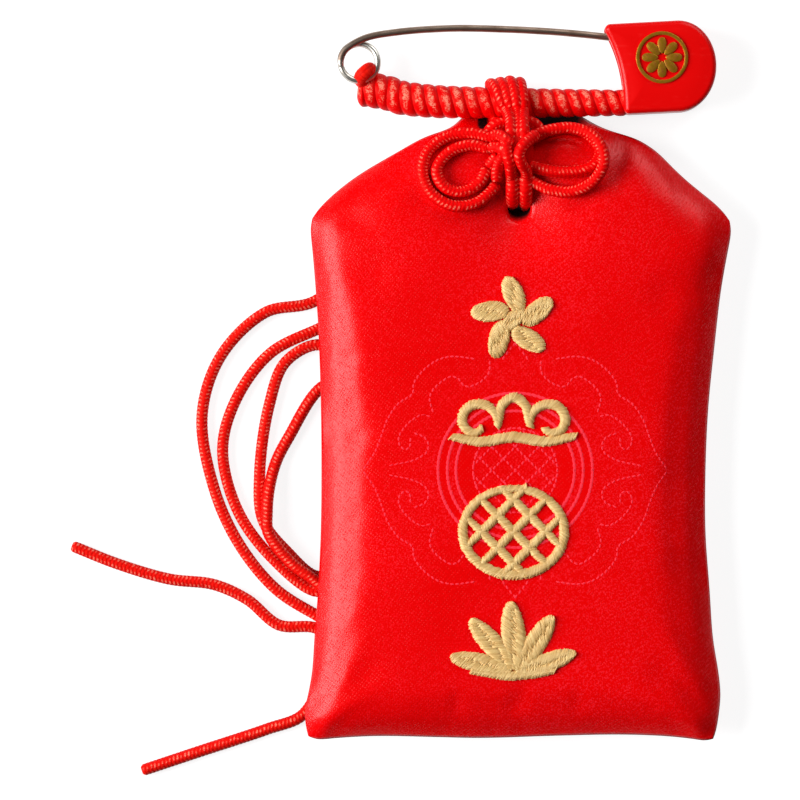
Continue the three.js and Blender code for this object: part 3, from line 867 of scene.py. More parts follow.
@dataclass(frozen=True)
class GoldThread:
    """Silky gold embroidery thread, each stitch with its own tone."""

    deep: Colour = srgb(198, 146, 72)
    light: Colour = srgb(248, 214, 144)
    twist: float = 0.14

    @lru_cache
    def material(self) -> Material:
        """Makes the material.

        Returns:
            The finish's material.
        """
        surface = Surface("gold_embroidery", metallic=0.08, specular_ior_level=0.55)
        tone = surface.attribute("tone")
        twist = surface.noise(self.twist, 2.0)
        share = (tone * 0.6 + twist * 0.5).least(1.0)
        surface.set(base_color=surface.bench.mix(share, self.deep, self.light), roughness=0.34 + twist * 0.16)
        surface.bump(twist, 0.03, 0.8)
        return surface.material


@dataclass(frozen=True)
class Steel:
    """Drawn steel wire or folded strip, with long streaks and a little tarnish."""

    name: str
    colour: Colour = srgb(222, 220, 212)
    tarnish: Colour = srgb(150, 140, 126)
    dull: Colour = srgb(222, 220, 212)
    dull_share: Pair = (0.03, 0.09)
    roughness: float = 0.26
    streak: float = 0.22
    patch: float = 3.0

    @lru_cache
    def material(self) -> Material:
        """Makes the material.

        Returns:
            The finish's material.
        """
        surface = Surface(self.name, metallic=1.0)
        streak = surface.noise(self.streak, 3.0, (9, 1, 1))
        patch = surface.noise(self.patch, 3.0).between(0.45, 0.7)
        wear_and_highlight = surface.attribute("share").between(*self.dull_share)
        colour = surface.bench.mix(wear_and_highlight, self.colour, self.dull)
        surface.set(
            base_color=surface.bench.mix(patch * 0.8 + streak * 0.2, colour, self.tarnish),
            roughness=self.roughness + streak * 0.14 + patch * 0.1,
        )
        surface.bump(streak, 0.012, 0.5)
        return surface.material


BRIGHT_STEEL = Steel("bright_steel")
DULL_STEEL = Steel("dull_steel", tarnish=srgb(118, 94, 78), dull=srgb(168, 146, 130), roughness=0.32)


@dataclass(frozen=True)
class Plastic:
    """Glossy red moulded plastic, with a faint ripple and handling marks."""

    colour: Colour = srgb(228, 3, 3)
    wear_and_highlight: Colour = srgb(236, 18, 14)
    ripple: float = 2.6
    mark: float = 0.5

    @lru_cache
    def material(self) -> Material:
        """Makes the material.

        Returns:
            The finish's material.
        """
        surface = Surface("red_plastic", specular_ior_level=0.18, coat_roughness=0.12)
        ripple = surface.noise(self.ripple, 2.0)
        mark = surface.noise(self.mark, 4.0, (3, 1, 1)).between(0.58, 0.8)
        surface.set(
            base_color=surface.bench.mix(mark * 0.6, self.colour, self.wear_and_highlight),
            roughness=0.3 + mark * 0.16,
            coat_weight=0.04 - mark * 0.03,
        )
        surface.bump(ripple * 0.9 + mark * 0.1, 0.04, 0.35)
        return surface.material


@dataclass(frozen=True)
class Foil:
    """Gold hot foil, a little rubbed."""

    gold: Colour = srgb(196, 142, 26)
    rubbed: Colour = srgb(150, 84, 14)
    rub: float = 0.5

    @lru_cache
    def material(self) -> Material:
        """Makes the material.

        Returns:
            The finish's material.
        """
        surface = Surface("gold_foil", specular_ior_level=0.6)
        rub = surface.noise(self.rub, 4.0).between(0.42, 0.7)
        surface.set(
            base_color=surface.bench.mix(rub, self.gold, self.rubbed),
            metallic=0.75 - rub * 0.25,
            roughness=0.3 + rub * 0.2,
        )
        surface.bump(rub, 0.02, 0.5)
        return surface.material


@dataclass(frozen=True)
class Fibrous:
    """Matt stuff of laid fibres: wadding, card or paper."""

    name: str
    light: Colour
    dark: Colour
    fibre: float
    stretch: Spot
    depth: float

    @lru_cache
    def material(self) -> Material:
        """Makes the material.

        Returns:
            The finish's material.
        """
        surface = Surface(self.name, specular_ior_level=0.2)
        fibre = surface.noise(self.fibre, 5.0, self.stretch)
        fleck = surface.noise(self.fibre * 4, 2.0).between(0.55, 0.75)
        surface.set(
            base_color=surface.bench.mix(fibre * 0.6 + fleck * 0.4, self.light, self.dark),
            roughness=0.8 + fibre * 0.15,
        )
        surface.bump(fibre, self.depth, 0.8)
        return surface.material


WADDING = Fibrous("wadding_fibre", srgb(244, 240, 232), srgb(214, 208, 196), 0.5, (1, 1, 1), 0.3)
CARD = Fibrous("grey_card", srgb(206, 186, 152), srgb(160, 140, 110), 0.3, (4, 1, 1), 0.05)
PAPER = Fibrous("slip_paper", srgb(240, 224, 178), srgb(214, 192, 140), 0.25, (3, 1, 1), 0.03)


# Studio


@dataclass(frozen=True)
class Lamp:
    """A soft box that faces the pouch."""

    name: str
    place: Spot
    size: Pair
    watts: float


@dataclass(frozen=True)
class Studio:
    """Pale table, soft light from the left and a camera straight above."""

    view_middle: Pair = (-17.31, -2.76)
    view_width: float = 116.4
    view_level: float = 5.0
    view_distance: float = 1200.0
    sensor: float = 36.0
    floor_width: float = 1600.0
    floor_glow: float = 0.86
    floor_white: float = 0.3
    floor_bounce: float = 0.3
    ambient: float = 0.052
    aim: Spot = (0.0, -6.0, 5.0)
    lamps: tuple[Lamp, ...] = (
        Lamp("key_box", (-1280.0, 60.0, 820.0), (880.0, 1200.0), 38.0),
        Lamp("top_box", (520.0, 900.0, 600.0), (700.0, 700.0), 6.4),
    )

    def build(self) -> None:
        """Makes the camera, the lamps, the world and the floor."""
        self._camera()
        for lamp in self.lamps:
            self._lamp(lamp)
        self._world()
        self._floor()
        bpy.context.scene.view_settings.view_transform = "Standard"

    def _camera(self) -> None:
        """Makes the camera, which looks straight down."""
        camera = bpy.data.cameras.new("above")
        camera.sensor_width = self.sensor
        camera.lens = self.sensor * self.view_distance / self.view_width
        eye = new_piece("above", camera)
        eye.location = Vector((*self.view_middle, self.view_level + self.view_distance)) * MM
        bpy.context.scene.camera = eye

    def _lamp(self, lamp: Lamp) -> None:
        """Makes one soft box.

        Args:
            lamp: The soft box's size, place and strength.
        """
        light = bpy.data.lights.new(lamp.name, "AREA")
        light.shape = "RECTANGLE"
        light.size, light.size_y = (side * MM for side in lamp.size)
        light.energy = lamp.watts
        box = new_piece(lamp.name, light)
        box.location = Vector(lamp.place) * MM
        box.rotation_euler = (Vector(self.aim) - Vector(lamp.place)).to_track_quat("-Z", "Y").to_euler()

    def _world(self) -> None:
        """Fills the room with even light."""
        world = bpy.data.worlds.new("room")
        world.use_nodes = True
        background = world.node_tree.nodes["Background"]
        background.inputs["Color"].default_value = grey(1.0)
        background.inputs["Strength"].default_value = self.ambient
        bpy.context.scene.world = world

    def _floor(self) -> None:
        """Makes the white table, which keeps the shadow."""
        half = self.floor_width / 2
        corners = np.array([[-half, -half, 0], [half, -half, 0], [half, half, 0], [-half, half, 0]])
        floor = new_piece("table", new_mesh("table", corners, [(0, 1, 2, 3)]))
        material = bpy.data.materials.new("white_table")
        material.use_nodes = True
        bench = Bench(material.node_tree)
        material.node_tree.nodes.clear()
        rays = bench.add("ShaderNodeLightPath")
        names = ("Is Camera Ray", "Is Glossy Ray", "Is Transmission Ray")
        camera, glossy, through = (Term(bench, rays.outputs[name]) for name in names)
        seen = camera.most(glossy).most(through)
        white = bench.term("ShaderNodeBsdfDiffuse", None, {"Color": grey(self.floor_white)})
        glow = bench.term("ShaderNodeEmission", None, {"Strength": self.floor_glow})
        shown = bench.term("ShaderNodeAddShader", None, {0: white, 1: glow})
        bounce = bench.term("ShaderNodeBsdfDiffuse", None, {"Color": grey(self.floor_bounce)})
        surface = bench.term("ShaderNodeMixShader", None, {0: seen, 1: bounce, 2: shown})
        bench.add("ShaderNodeOutputMaterial", None, {"Surface": surface})
        dress(floor.data, material)
        floor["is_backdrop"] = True


# Cords


@dataclass(frozen=True)
class CordGauge:
    """The cord's size and braid."""

    diameter: float = 1.7
    columns: int = 4
    lead: float = 0.58
    slant: float = 0.8
    relief: float = 0.07
    step: float = 0.1
    sides: int = 24
    seal: float = 0.7

    def inputs(self, material: Material, **changes: float) -> dict[str, Any]:
        """Values for a strand tree.

        Args:
            material: The strand's finish.
            changes: Inputs that differ from the cord's own.

        Returns:
            The value of each named input.
        """
        values = {
            "Radius": self.diameter / 2 * MM,
            "Lead": self.lead * MM,
            "Slant": self.slant,
            "Relief": self.relief * MM,
            "Seal": self.seal * MM,
            "Taper": 0.0,
            "Phase": 0.0,
            "Columns": float(self.columns),
            "Sides": self.sides,
            "Material": material,
        }
        return {**values, **changes}


class Cordage:
    """Makes pieces of cord, and of wire, from their lines."""

    def __init__(self, gauge: CordGauge, braid: Braid) -> None:
        """Keeps the cord's size and finish.

        Args:
            gauge: The cord's sizes.
            braid: Its finish.
        """
        self.gauge = gauge
        self.material = braid.material()
        self.tree = StrandGrowth()

    def lay(
        self,
        name: str,
        strands: Sequence[Line],
        material: Material | None = None,
        tree: StrandGrowth | None = None,
        step: float | None = None,
        **changes: float,
    ) -> Object:
        """Lays cord along smooth lines.

        Args:
            name: Name of the piece.
            strands: Places that its strands go through.
            material: Its finish, where that isn't the cord's own.
            tree: Its strand tree, where it isn't braided.
            step: Distance between its rings, where that isn't the cord's own.
            changes: Inputs of the strand tree that differ from the cord's own.

        Returns:
            The piece.
        """
        step = step or self.gauge.step
        lines = [smooth_line(strand, step) for strand in strands]
        values = self.gauge.inputs(material or self.material, Step=step * MM, **changes)
        return (tree or self.tree).grow(name, line_mesh(name, lines), values)


LAID = 0.9


@dataclass(frozen=True)
class Tail:
    """One free end of the cord, from the hole's back to its sealed end. A flat place lies on the table."""

    name: str
    node: str
    places: Line

    def build(self, cordage: Cordage) -> None:
        """Lays the cord.

        Args:
            cordage: Maker of the cord.
        """
        places = [(*place, LAID)[:3] for place in self.places]
        piece = cordage.lay(self.name, [places])
        place_piece(piece, Body.POUCH, Slot.CORD, self.node)


TAILS = (
    Tail(
        "long_tail",
        "cord_tail_long",
        (
            (-1.25, 25.5, 4.85), (-1.7, 25.6, 2.6), (-3.6, 26, 1.1), (-6.6, 26.1), (-13, 24.7), (-22, 19),
            (-29.7, 11.7), (-37, 10), (-43.5, 3.6), (-46.2, -5), (-44.5, -15.5), (-40.9, -23.6),
            (-35.5, -30.3), (-29.8, -34), (-26.6, -35.6), (-23.2, -35.2), (-21.6, -32.3), (-23.2, -29.7),
            (-26.4, -29.5), (-29.5, -30.7), (-35.9, -25.9), (-41, -18.9), (-43.2, -10), (-41.2, -2.6),
            (-36.2, 4.1), (-29.3, 7.6), (-26.2, 9), (-22.9, 8.7), (-21.3, 5.9), (-22.9, 3.3), (-26, 3.2),
            (-29.2, 5.3), (-34, 2.8), (-36.4, -3.5), (-37.8, -13.5), (-37.3, -20.3), (-33.8, -24.9),
            (-29.4, -28.5), (-26, -27.2), (-21.6, -27.6), (-19.1, -32.2), (-21.6, -37.2), (-26.4, -38),
            (-29.8, -36), (-35, -35.6), (-39.6, -31.9), (-44.5, -29.7), (-51, -28.9), (-58.5, -26.7),
            (-65.3, -24),
        ),
    ),
    Tail(
        "short_tail",
        "cord_tail_short",
        (
            (0.95, 25.5, 4.85), (0.9, 25.2, 2.6), (0.4, 23.8, 1.1), (-1.6, 21.6), (-5, 19.6), (-9.6, 18.3),
            (-14.6, 16.2), (-18.4, 12.3), (-18.9, 7), (-20.2, 2.6), (-24.2, 0.8), (-28.9, -1),
            (-33.5, -8.1), (-35.4, -11.8, 1.1), (-36.4, -15.7, 2), (-36.7, -19.1, 2.4),
            (-36.5, -22.1, 2.6), (-33.2, -26.5, 2.6), (-29.4, -29.4, 2.65), (-27.1, -32.4, 2.7),
            (-26.9, -36.4, 2.7), (-27.7, -40, 2), (-29, -44.5), (-31.6, -48.8), (-36.7, -50.8),
            (-46.7, -54.1), (-55.1, -56.9),
        ),
    ),
)


# Pouch


@dataclass(frozen=True)
class Outline:
    """The pouch's sewn edge, as four sides that meet at the feet and the shoulders."""

    left: Line = (
        (-30.7, -51.7), (-31.1, -50.1), (-31.2, -47.7), (-30.8, -45.8), (-30.2, -42.6), (-29.8, -37),
        (-29.3, -30.5), (-28.9, -22), (-28.8, -12), (-28.9, -2.8), (-29.25, 7.4), (-29.8, 15.4),
        (-30.15, 19.4), (-30.36, 21.4), (-30.36, 22.5), (-30.1, 23.65),
    )
    right: Line = (
        (28.3, -52.1), (28.62, -51.3), (28.9, -50.1), (29.2, -48), (29.4, -45.6), (29.1, -42.4),
        (28.3, -37.5), (27.8, -30.4), (27.2, -22), (27.2, -13), (27.6, -4), (28.5, 5), (29.4, 12.8),
        (30.1, 17.0), (30.6, 19.6), (30.88, 21.2), (30.92, 22.2), (30.68, 23.3),
    )
    bottom: Line = (
        (-30.7, -51.7), (-29.8, -52.2), (-25.9, -51.95), (-20.5, -51.7), (-11.9, -51.87), (-5.5, -52),
        (6.1, -51.65), (15, -51.5), (21.7, -51.75), (25.8, -52.2), (27.2, -52.45), (27.85, -52.42),
        (28.3, -52.1),
    )
    top: Line = (
        (-30.1, 23.65), (-29.42, 24.78), (-28.2, 26.1), (-25.9, 28.15), (-23, 30.26), (-17, 33.76),
        (-14.1, 35.4), (-11, 36.5), (-10.1, 36.8), (-9.4, 37.2), (-8.7, 38.1), (-7.8, 39), (-5.4, 39.3),
        (-4.2, 38.6), (-3.4, 36.9), (-2.2, 36.2), (-0.6, 36.2), (0.5, 36.7), (1.2, 38), (2, 39),
        (3.4, 39.3), (7.6, 39.3), (9.3, 38.7), (10.4, 37.9), (11.8, 37.1), (13.5, 36.4), (16.6, 35.5),
        (18.6, 34.5), (20.4, 33.15), (22.1, 31.4), (24.3, 29.3), (27.0, 27.1), (28.6, 25.8), (29.9, 24.5),
        (30.68, 23.3),
    )
    dip: float = 3.6
    dip_middle: float = 1.0
    dip_half: float = 10.5
    dip_level: Pair = (35.5, 37.5)
    # Spans across the mouth that get painted shade, each with its start, end and soft end; the shade grows up
    # between the levels on the next line.
    inside: tuple[Spot, ...] = ((-6.0, -4.5, 0.6), (1.4, 10.2, 5.5))
    mouth_shade_level: Pair = (36.6, 37.3)
    mouth_shade_soft: float = 0.6
    fine: float = 0.2

    def drop(self, places: np.ndarray) -> np.ndarray:
        """How far the mouth drops behind the pin at places.

        Args:
            places: Places on the cloth, across and up.

        Returns:
            The drop at each place.
        """
        low, high = self.dip_level
        near = np.exp(-(((places[..., 0] - self.dip_middle) / self.dip_half) ** 6))
        return self.dip * near * np.clip((places[..., 1] - low) / (high - low), 0, 1)

    def mouth_shade(self, places: np.ndarray) -> np.ndarray:
        """How much painted shade the mouth gets at places, from 0 to 1 where it is darkest.

        Args:
            places: Places on the cloth, across and up.

        Returns:
            The share at each place.
        """
        low, high = self.mouth_shade_level
        across = places[:, 0]
        spans = [
            np.clip(np.minimum((across - start) / self.mouth_shade_soft, (end - across) / end_soft), 0, 1)
            for start, end, end_soft in self.inside
        ]
        return np.maximum.reduce(spans) * np.clip((places[:, 1] - low) / (high - low), 0, 1)

    def sides(self) -> tuple[np.ndarray, np.ndarray, np.ndarray, np.ndarray]:
        """Fine lines of the left, right, bottom and top sides."""
        return tuple(smooth_line(side, self.fine) for side in (self.left, self.right, self.bottom, self.top))


@dataclass(frozen=True)
class Crease:
    """A soft valley pressed into the front cloth."""

    start: Pair
    end: Pair
    width: float
    depth: float

    def drop(self, places: np.ndarray) -> np.ndarray:
        """How far the cloth drops at places.

        Args:
            places: Places on the cloth, across and up.

        Returns:
            The drop at each place.
        """
        start, way = np.array(self.start), np.array(self.end) - np.array(self.start)
        share = np.clip(((places - start) @ way) / (way @ way), 0, 1)
        away = np.linalg.norm(places - start - share[:, None] * way, axis=1)
        return self.depth * np.exp(-((away / self.width) ** 2))


CLOTH = {
    "quality": 6,
    "mass": 0.25,
    "tension_stiffness": 14,
    "compression_stiffness": 14,
    "shear_stiffness": 6,
    "bending_stiffness": 0.6,
    "air_damping": 2,
    "use_pressure": True,
    "vertex_group_mass": "held",
}


@dataclass
class Pouch:
    """The padded satin pouch: a front and a back panel sewn along the outline, with a hole for the cord."""

    outline: Outline = Outline()
    columns: int = 44
    rows: int = 62
    seam_height: float = 5.0
    crown: float = 2.75
    dome: float = 0.95
    dome_reach: float = 20.0
    front_reach: tuple[float, float, float, float] = (2.8, 3.5, 3.2, 6.4)
    front_bulge: tuple[float, float, float, float] = (1.0, 1.0, 1.0, 0.75)
    front_power: float = 2.2
    dome_power: float = 2.0
    soften_rounds: int = 2
    back_reach: float = 21.0
    back_power: float = 1.5
    edge_step: float = 0.6
    hole: Pair = (0.0, 24.9)
    hole_radius: Pair = (1.7, 1.95)
    rim_crease: float = 0.7
    hole_span: int = 2
    slit: float = 0.1
    slit_shift: float = 1.5
    pinch_reach: float = 8.0
    front_pinch: float = 1.4
    back_pinch: float = 0.6
    relax_rounds: int = 40
    sim_scale: float = 10.0
    sim_frames: int = 20
    pressure: float = 1.2
    spare_cloth: float = 0.004
    swell_limit: float = 0.6
    seam_crease: float = 0.55
    weave_limit: float = 3.0
    levels: int = 2
    floor_gap: float = 0.02
    beyond: float = 30.0
    creases: tuple[Crease, ...] = (
        Crease((14.6, 37.0), (14.4, 29.5), 1.7, 0.7),
        Crease((-18.0, 34.0), (-14.5, 27.0), 2.2, 0.35),
        Crease((-31.0, 20.0), (-21.0, 16.0), 2.4, 0.3),
        Crease((30.5, 17.0), (21.5, 12.5), 2.6, 0.35),
        Crease((-30.0, -49.0), (-22.5, -42.5), 2.4, 0.35),
        Crease((28.5, -49.5), (21.0, -43.0), 2.4, 0.35),
        Crease((28.0, -14.0), (23.0, -14.5), 2.8, 0.3),
        Crease((27.5, -28.0), (23.0, -27.0), 2.4, 0.25),
        Crease((-29.0, -6.0), (-24.0, -6.5), 3.0, 0.25),
    )
    size: tuple[int, int] = field(init=False)
    seam: np.ndarray = field(init=False)
    rim: np.ndarray = field(init=False)
    open: np.ndarray = field(init=False)
    front_ids: np.ndarray = field(init=False)
    back_ids: np.ndarray = field(init=False)
    cloth: BVHTree = field(init=False)

    def build(self) -> None:
        """Sews, fills and dresses the pouch."""
        flat = self._relaxed(self._patch())
        self.size = flat.shape[:2]
        front = np.dstack([flat, self._front_height(flat)])
        back = np.dstack([flat, self._back_height(flat)])
        slit_y = self.hole[1] + self.slit_shift
        back[self.rim, 1] = slit_y + (back[self.rim, 1] - self.hole[1]) * self.slit
        places, faces = self._sewn(front, back)
        settled = self._filled(places, faces)
        settled = self._creased(settled)
        mesh = new_mesh("pouch_body", settled, faces)
        self._lay_weave(mesh, settled)
        self._tighten_seam(mend(mesh))
        self._paint_hole_shade(mesh)
        piece = new_piece("pouch_body", mesh)
        subdivide(piece, self.levels)
        shade_smooth(piece.data)
        dress(piece.data, Satin().material())
        self._remember(piece.data)
        self._paint_mouth_shade(piece.data)
        self._mark_figure(piece.data)
        place_piece(piece, Body.POUCH, Slot.SATIN, "front_panel", "back_panel")

    def _patch(self) -> np.ndarray:
        """Spreads a grid evenly between the four sides.

        Returns:
            The grid's places, in rows from the bottom up.
        """
        left, right, bottom, top = self.outline.sides()
        u = np.linspace(0, 1, self.columns + 1)[None, :, None]
        v = np.linspace(0, 1, self.rows + 1)[:, None, None]
        west, east = (self._spread(side, self.rows)[:, None] for side in (left, right))
        south, north = (self._spread(side, self.columns)[None] for side in (bottom, top))
        corners = (
            (1 - u) * (1 - v) * bottom[0] + u * (1 - v) * bottom[-1] + (1 - u) * v * top[0] + u * v * top[-1]
        )
        return (1 - v) * south + v * north + (1 - u) * west + u * east - corners

    @staticmethod
    def _spread(side: np.ndarray, steps: int) -> np.ndarray:
        """Places spread evenly along a side."""
        return side[np.linspace(0, len(side) - 1, steps + 1).round().astype(int)]

    def _relaxed(self, grid: np.ndarray) -> np.ndarray:
        """Rounds the hole in the grid and evens out the places about it.

        Args:
            grid: Flat places of the grid.

        Returns:
            The new places.
        """
        away = np.linalg.norm(grid - np.array(self.hole), axis=2)
        row, column = np.unravel_index(away.argmin(), away.shape)
        span = self.hole_span
        r, c = np.indices(away.shape)
        far = np.maximum(abs(r - row), abs(c - column))
        self.rim = far == span
        self.open = far < span
        self.seam = np.ones(away.shape, bool)
        self.seam[1:-1, 1:-1] = False
        turn = np.arctan2(r - row, c - column)
        ring = np.dstack([np.cos(turn), np.sin(turn)]) * np.array(self.hole_radius) + np.array(self.hole)
        fixed = self.rim | self.open | self.seam
        grid = np.where(self.rim[..., None], ring, grid)
        for _ in range(self.relax_rounds):
            grid = np.where(fixed[..., None], grid, near_mean(grid))
        return grid

    def _edge_ways(self, flat: np.ndarray) -> list[np.ndarray]:
        """Measures how far each place is from each of the four sides.

        Args:
            flat: Flat places of the grid.

        Returns:
            A grid of distances for each side.
        """
        places = flat.reshape(-1, 2)
        ways = []
        for side in self.outline.sides():
            coarse = evenly(side, self.edge_step)
            gaps = np.linalg.norm(places[:, None] - coarse[None], axis=2)
            ways.append(gaps.min(axis=1).reshape(flat.shape[:2]))
        return ways

    def _pinch(self, flat: np.ndarray) -> np.ndarray:
        """How much the cord pulls the panels together, from 0 to 1 at the hole."""
        away = np.linalg.norm(flat - np.array(self.hole), axis=2) / self.pinch_reach
        return (1 - np.minimum(1, away) ** 2) ** 2

    def _front_height(self, flat: np.ndarray) -> np.ndarray:
        """Shapes the front panel before it is filled.

        Args:
            flat: Flat places of the grid.

        Returns:
            The height of each.
        """
        rise = np.ones(flat.shape[:2])
        broad = np.ones(flat.shape[:2])
        for way, reach, bulge in zip(self._edge_ways(flat), self.front_reach, self.front_bulge):
            rise *= (1 - (1 - np.minimum(1, way / reach)) ** self.front_power) ** bulge
            broad *= 1 - (1 - np.minimum(1, way / self.dome_reach)) ** self.dome_power
        rise[self.seam] = 0
        for _ in range(self.soften_rounds):
            rise = np.where(self.seam, 0, (rise + near_mean(rise)) / 2)
        pinch = self.front_pinch * self._pinch(flat) * (rise > 0)
        swell = self.crown * rise + self.dome * broad * (rise > 0)
        return self.seam_height + swell - pinch - self.outline.drop(flat)

    def _back_height(self, flat: np.ndarray) -> np.ndarray:
        """Shapes the back panel, which rests on the table.

        Args:
            flat: Flat places of the grid.

        Returns:
            The height of each.
        """
        fall = np.ones(flat.shape[:2])
        for way in self._edge_ways(flat):
            fall *= 1 - (1 - np.minimum(1, way / self.back_reach)) ** self.back_power
        fall[self.seam] = 0
        lift = self.back_pinch * self._pinch(flat) * (fall > 0)
        return np.maximum(self.seam_height * (1 - fall) + lift - self.outline.drop(flat), self.floor_gap)

    def _sewn(self, front: np.ndarray, back: np.ndarray) -> tuple[np.ndarray, Faces]:
        """Joins the panels along the seam and round the hole.

        Args:
            front: Places of the front panel's grid.
            back: Places of the back panel's grid.

        Returns:
            All places, and the faces between them.
        """
        used = ~self.open
        self.front_ids = np.full(self.size, -1)
        self.front_ids[used] = np.arange(used.sum())
        inner = used & ~self.seam
        self.back_ids = self.front_ids.copy()
        self.back_ids[inner] = used.sum() + np.arange(inner.sum())
        places = np.vstack([front[used], back[inner]])
        faces = []
        for ids, turn in ((self.front_ids, 1), (self.back_ids, -1)):
            for r in range(self.rows):
                for c in range(self.columns):
                    corners = (ids[r, c], ids[r, c + 1], ids[r + 1, c + 1], ids[r + 1, c])
                    if min(corners) >= 0 and not self._in_hole(r, c):
                        faces.append(corners[::turn])
        rim = np.argwhere(self.rim)
        rim = rim[np.arctan2(*(rim - rim.mean(axis=0)).T).argsort(kind="stable")]
        for here, there in zip(rim, np.roll(rim, -1, axis=0)):
            top = (self.front_ids[tuple(here)], self.front_ids[tuple(there)])
            bottom = (self.back_ids[tuple(there)], self.back_ids[tuple(here)])
            faces.append((*top[::-1], *bottom[::-1]))
        return places, faces

    def _in_hole(self, row: int, column: int) -> bool:
        """Whether a cell of the grid lies in the hole."""
        return bool(self.rim[row : row + 2, column : column + 2].all())

    def _filled(self, places: np.ndarray, faces: Faces) -> np.ndarray:
        """Fills the pouch by a cloth simulation, with its seam, hole and back held.

        Args:
            places: Places before it is filled.
            faces: The faces between them.

        Returns:
            Places of the filled pouch.
        """
        body = new_piece("filling", new_mesh("filling", places * self.sim_scale, faces))
        mend(body.data)
        held = body.vertex_groups.new(name="held")
        fixed = self.seam | self.rim
        ids = set(self.front_ids[fixed & (self.front_ids >= 0)].tolist())
        ids |= set(self.back_ids[self.back_ids >= 0].tolist())
        held.add(sorted(ids), 1.0, "REPLACE")
        cloth = body.modifiers.new("cloth", "CLOTH")
        settings = {**CLOTH, "uniform_pressure_force": self.pressure, "shrink_min": -self.spare_cloth}
        for name, value in settings.items():
            setattr(cloth.settings, name, value)
        cloth.settings.effector_weights.gravity = 0
        cloth.collision_settings.use_collision = False
        scene = bpy.context.scene
        for step in range(1, self.sim_frames + 1):
            scene.frame_set(step)
        swollen = places_of(plain_mesh(body), MM * self.sim_scale)
        scene.frame_set(1)
        bpy.data.objects.remove(body)
        move = swollen - places
        far = np.linalg.norm(move, axis=1)
        LOG.info("the filling moved the cloth up to %.2f mm", far.max())
        keep = np.tanh(far / self.swell_limit) * self.swell_limit / np.maximum(far, 1e-9)
        return places + move * keep[:, None]

    def _creased(self, places: np.ndarray) -> np.ndarray:
        """Presses the creases into the front.

        Args:
            places: Places of the cloth.

        Returns:
            The new places.
        """
        ids = np.setdiff1d(self.front_ids[self.front_ids >= 0], self.front_ids[self.seam])
        creased = places.copy()
        for crease in self.creases:
            creased[ids, 2] -= crease.drop(places[ids, :2])
        return creased

    def _lay_weave(self, mesh: Mesh, places: np.ndarray) -> None:
        """Lays the weave's map on the cloth, in millimetres along its threads.

        Args:
            mesh: The cloth.
            places: Its places.
        """
        grid = places[np.where(self.front_ids >= 0, self.front_ids, 0)]
        middle = np.array(self.size) // 2
        steps = [np.linalg.norm(np.diff(grid, axis=axis), axis=2) for axis in (1, 0)]
        across = np.zeros(self.size)
        along = np.zeros(self.size)
        across[:, 1:] = np.cumsum(np.minimum(steps[0], self.weave_limit), axis=1)
        along[1:] = np.cumsum(np.minimum(steps[1], self.weave_limit), axis=0)
        across -= across[:, [middle[1]]]
        along -= along[[middle[0]]]
        weave = np.zeros((len(places), 2))
        for ids in (self.back_ids, self.front_ids):
            used = ids >= 0
            weave[ids[used]] = np.column_stack([across[used], along[used]])
        layer = mesh.uv_layers.new(name="weave")
        corners = np.zeros(len(mesh.loops), int)
        mesh.loops.foreach_get("vertex_index", corners)
        layer.data.foreach_set("uv", weave[corners].ravel())

    def _tighten_seam(self, mesh: Mesh) -> None:
        """Keeps the seam and the hole's edges crisp when the cloth is smoothed.

        Args:
            mesh: The cloth.
        """
        values = np.zeros(len(mesh.edges))
        seam, rim, slit = self.front_ids[self.seam], self.front_ids[self.rim], self.back_ids[self.rim]
        for ids, sharpness in ((seam, self.seam_crease), (rim, self.rim_crease), (slit, 1.0)):
            sharp = set(ids.tolist())
            values[[sharp.issuperset(edge.vertices) for edge in mesh.edges]] = sharpness
        keep_numbers(mesh, "crease_edge", values, "EDGE")

    def _paint_hole_shade(self, mesh: Mesh) -> None:
        """Marks painted shade down in the hole.

        Args:
            mesh: The cover's mesh.
        """
        depth = np.zeros(len(mesh.vertices))
        depth[self.back_ids[self.rim]] = 1
        keep_numbers(mesh, "painted_shade", depth)

    def _paint_mouth_shade(self, mesh: Mesh) -> None:
        """Adds painted shade to the mouth, where it drops behind the pin.

        Args:
            mesh: The cloth.
        """
        painted_shade = mesh.attributes["painted_shade"].data
        depth = np.zeros(len(painted_shade), np.float32)
        painted_shade.foreach_get("value", depth)
        depth = np.maximum(depth, self.outline.mouth_shade(places_of(mesh)))
        painted_shade.foreach_set("value", depth.astype(np.float32))

    def _remember(self, mesh: Mesh) -> None:
        """Keeps the finished cloth, so that other pieces can be laid on it."""
        places = [vertex.co / MM for vertex in mesh.vertices]
        self.cloth = BVHTree.FromPolygons(places, [tuple(face.vertices) for face in mesh.polygons])

    def height(self, x: float, y: float) -> float:
        """Height of the front cloth at a place, or of the seam beyond it."""
        hit = self.cloth.ray_cast(Vector((x, y, self.beyond)), Vector((0, 0, -1)))[0]
        return max(hit.z, self.seam_height) if hit else self.seam_height

    def inside(self, x: float, y: float) -> Pair:
        """Levels of the back and front cloth at a place."""
        hit = self.cloth.ray_cast(Vector((x, y, -self.beyond)), Vector((0, 0, 1)))[0]
        return (hit.z if hit else self.seam_height), self.height(x, y)

    def drape(self, flat: np.ndarray, lift: float) -> np.ndarray:
        """Flat places laid on the front cloth, with a lift."""
        return np.column_stack([flat, [self.height(x, y) + lift for x, y in flat]])

    def _mark_figure(self, mesh: Mesh) -> None:
        """Marks where the woven figure lies on the front."""
        places = places_of(mesh)
        keep_numbers(mesh, "figure", Figure().cover(places[:, :2]) * (places[:, 2] > self.seam_height))


# Woven figure


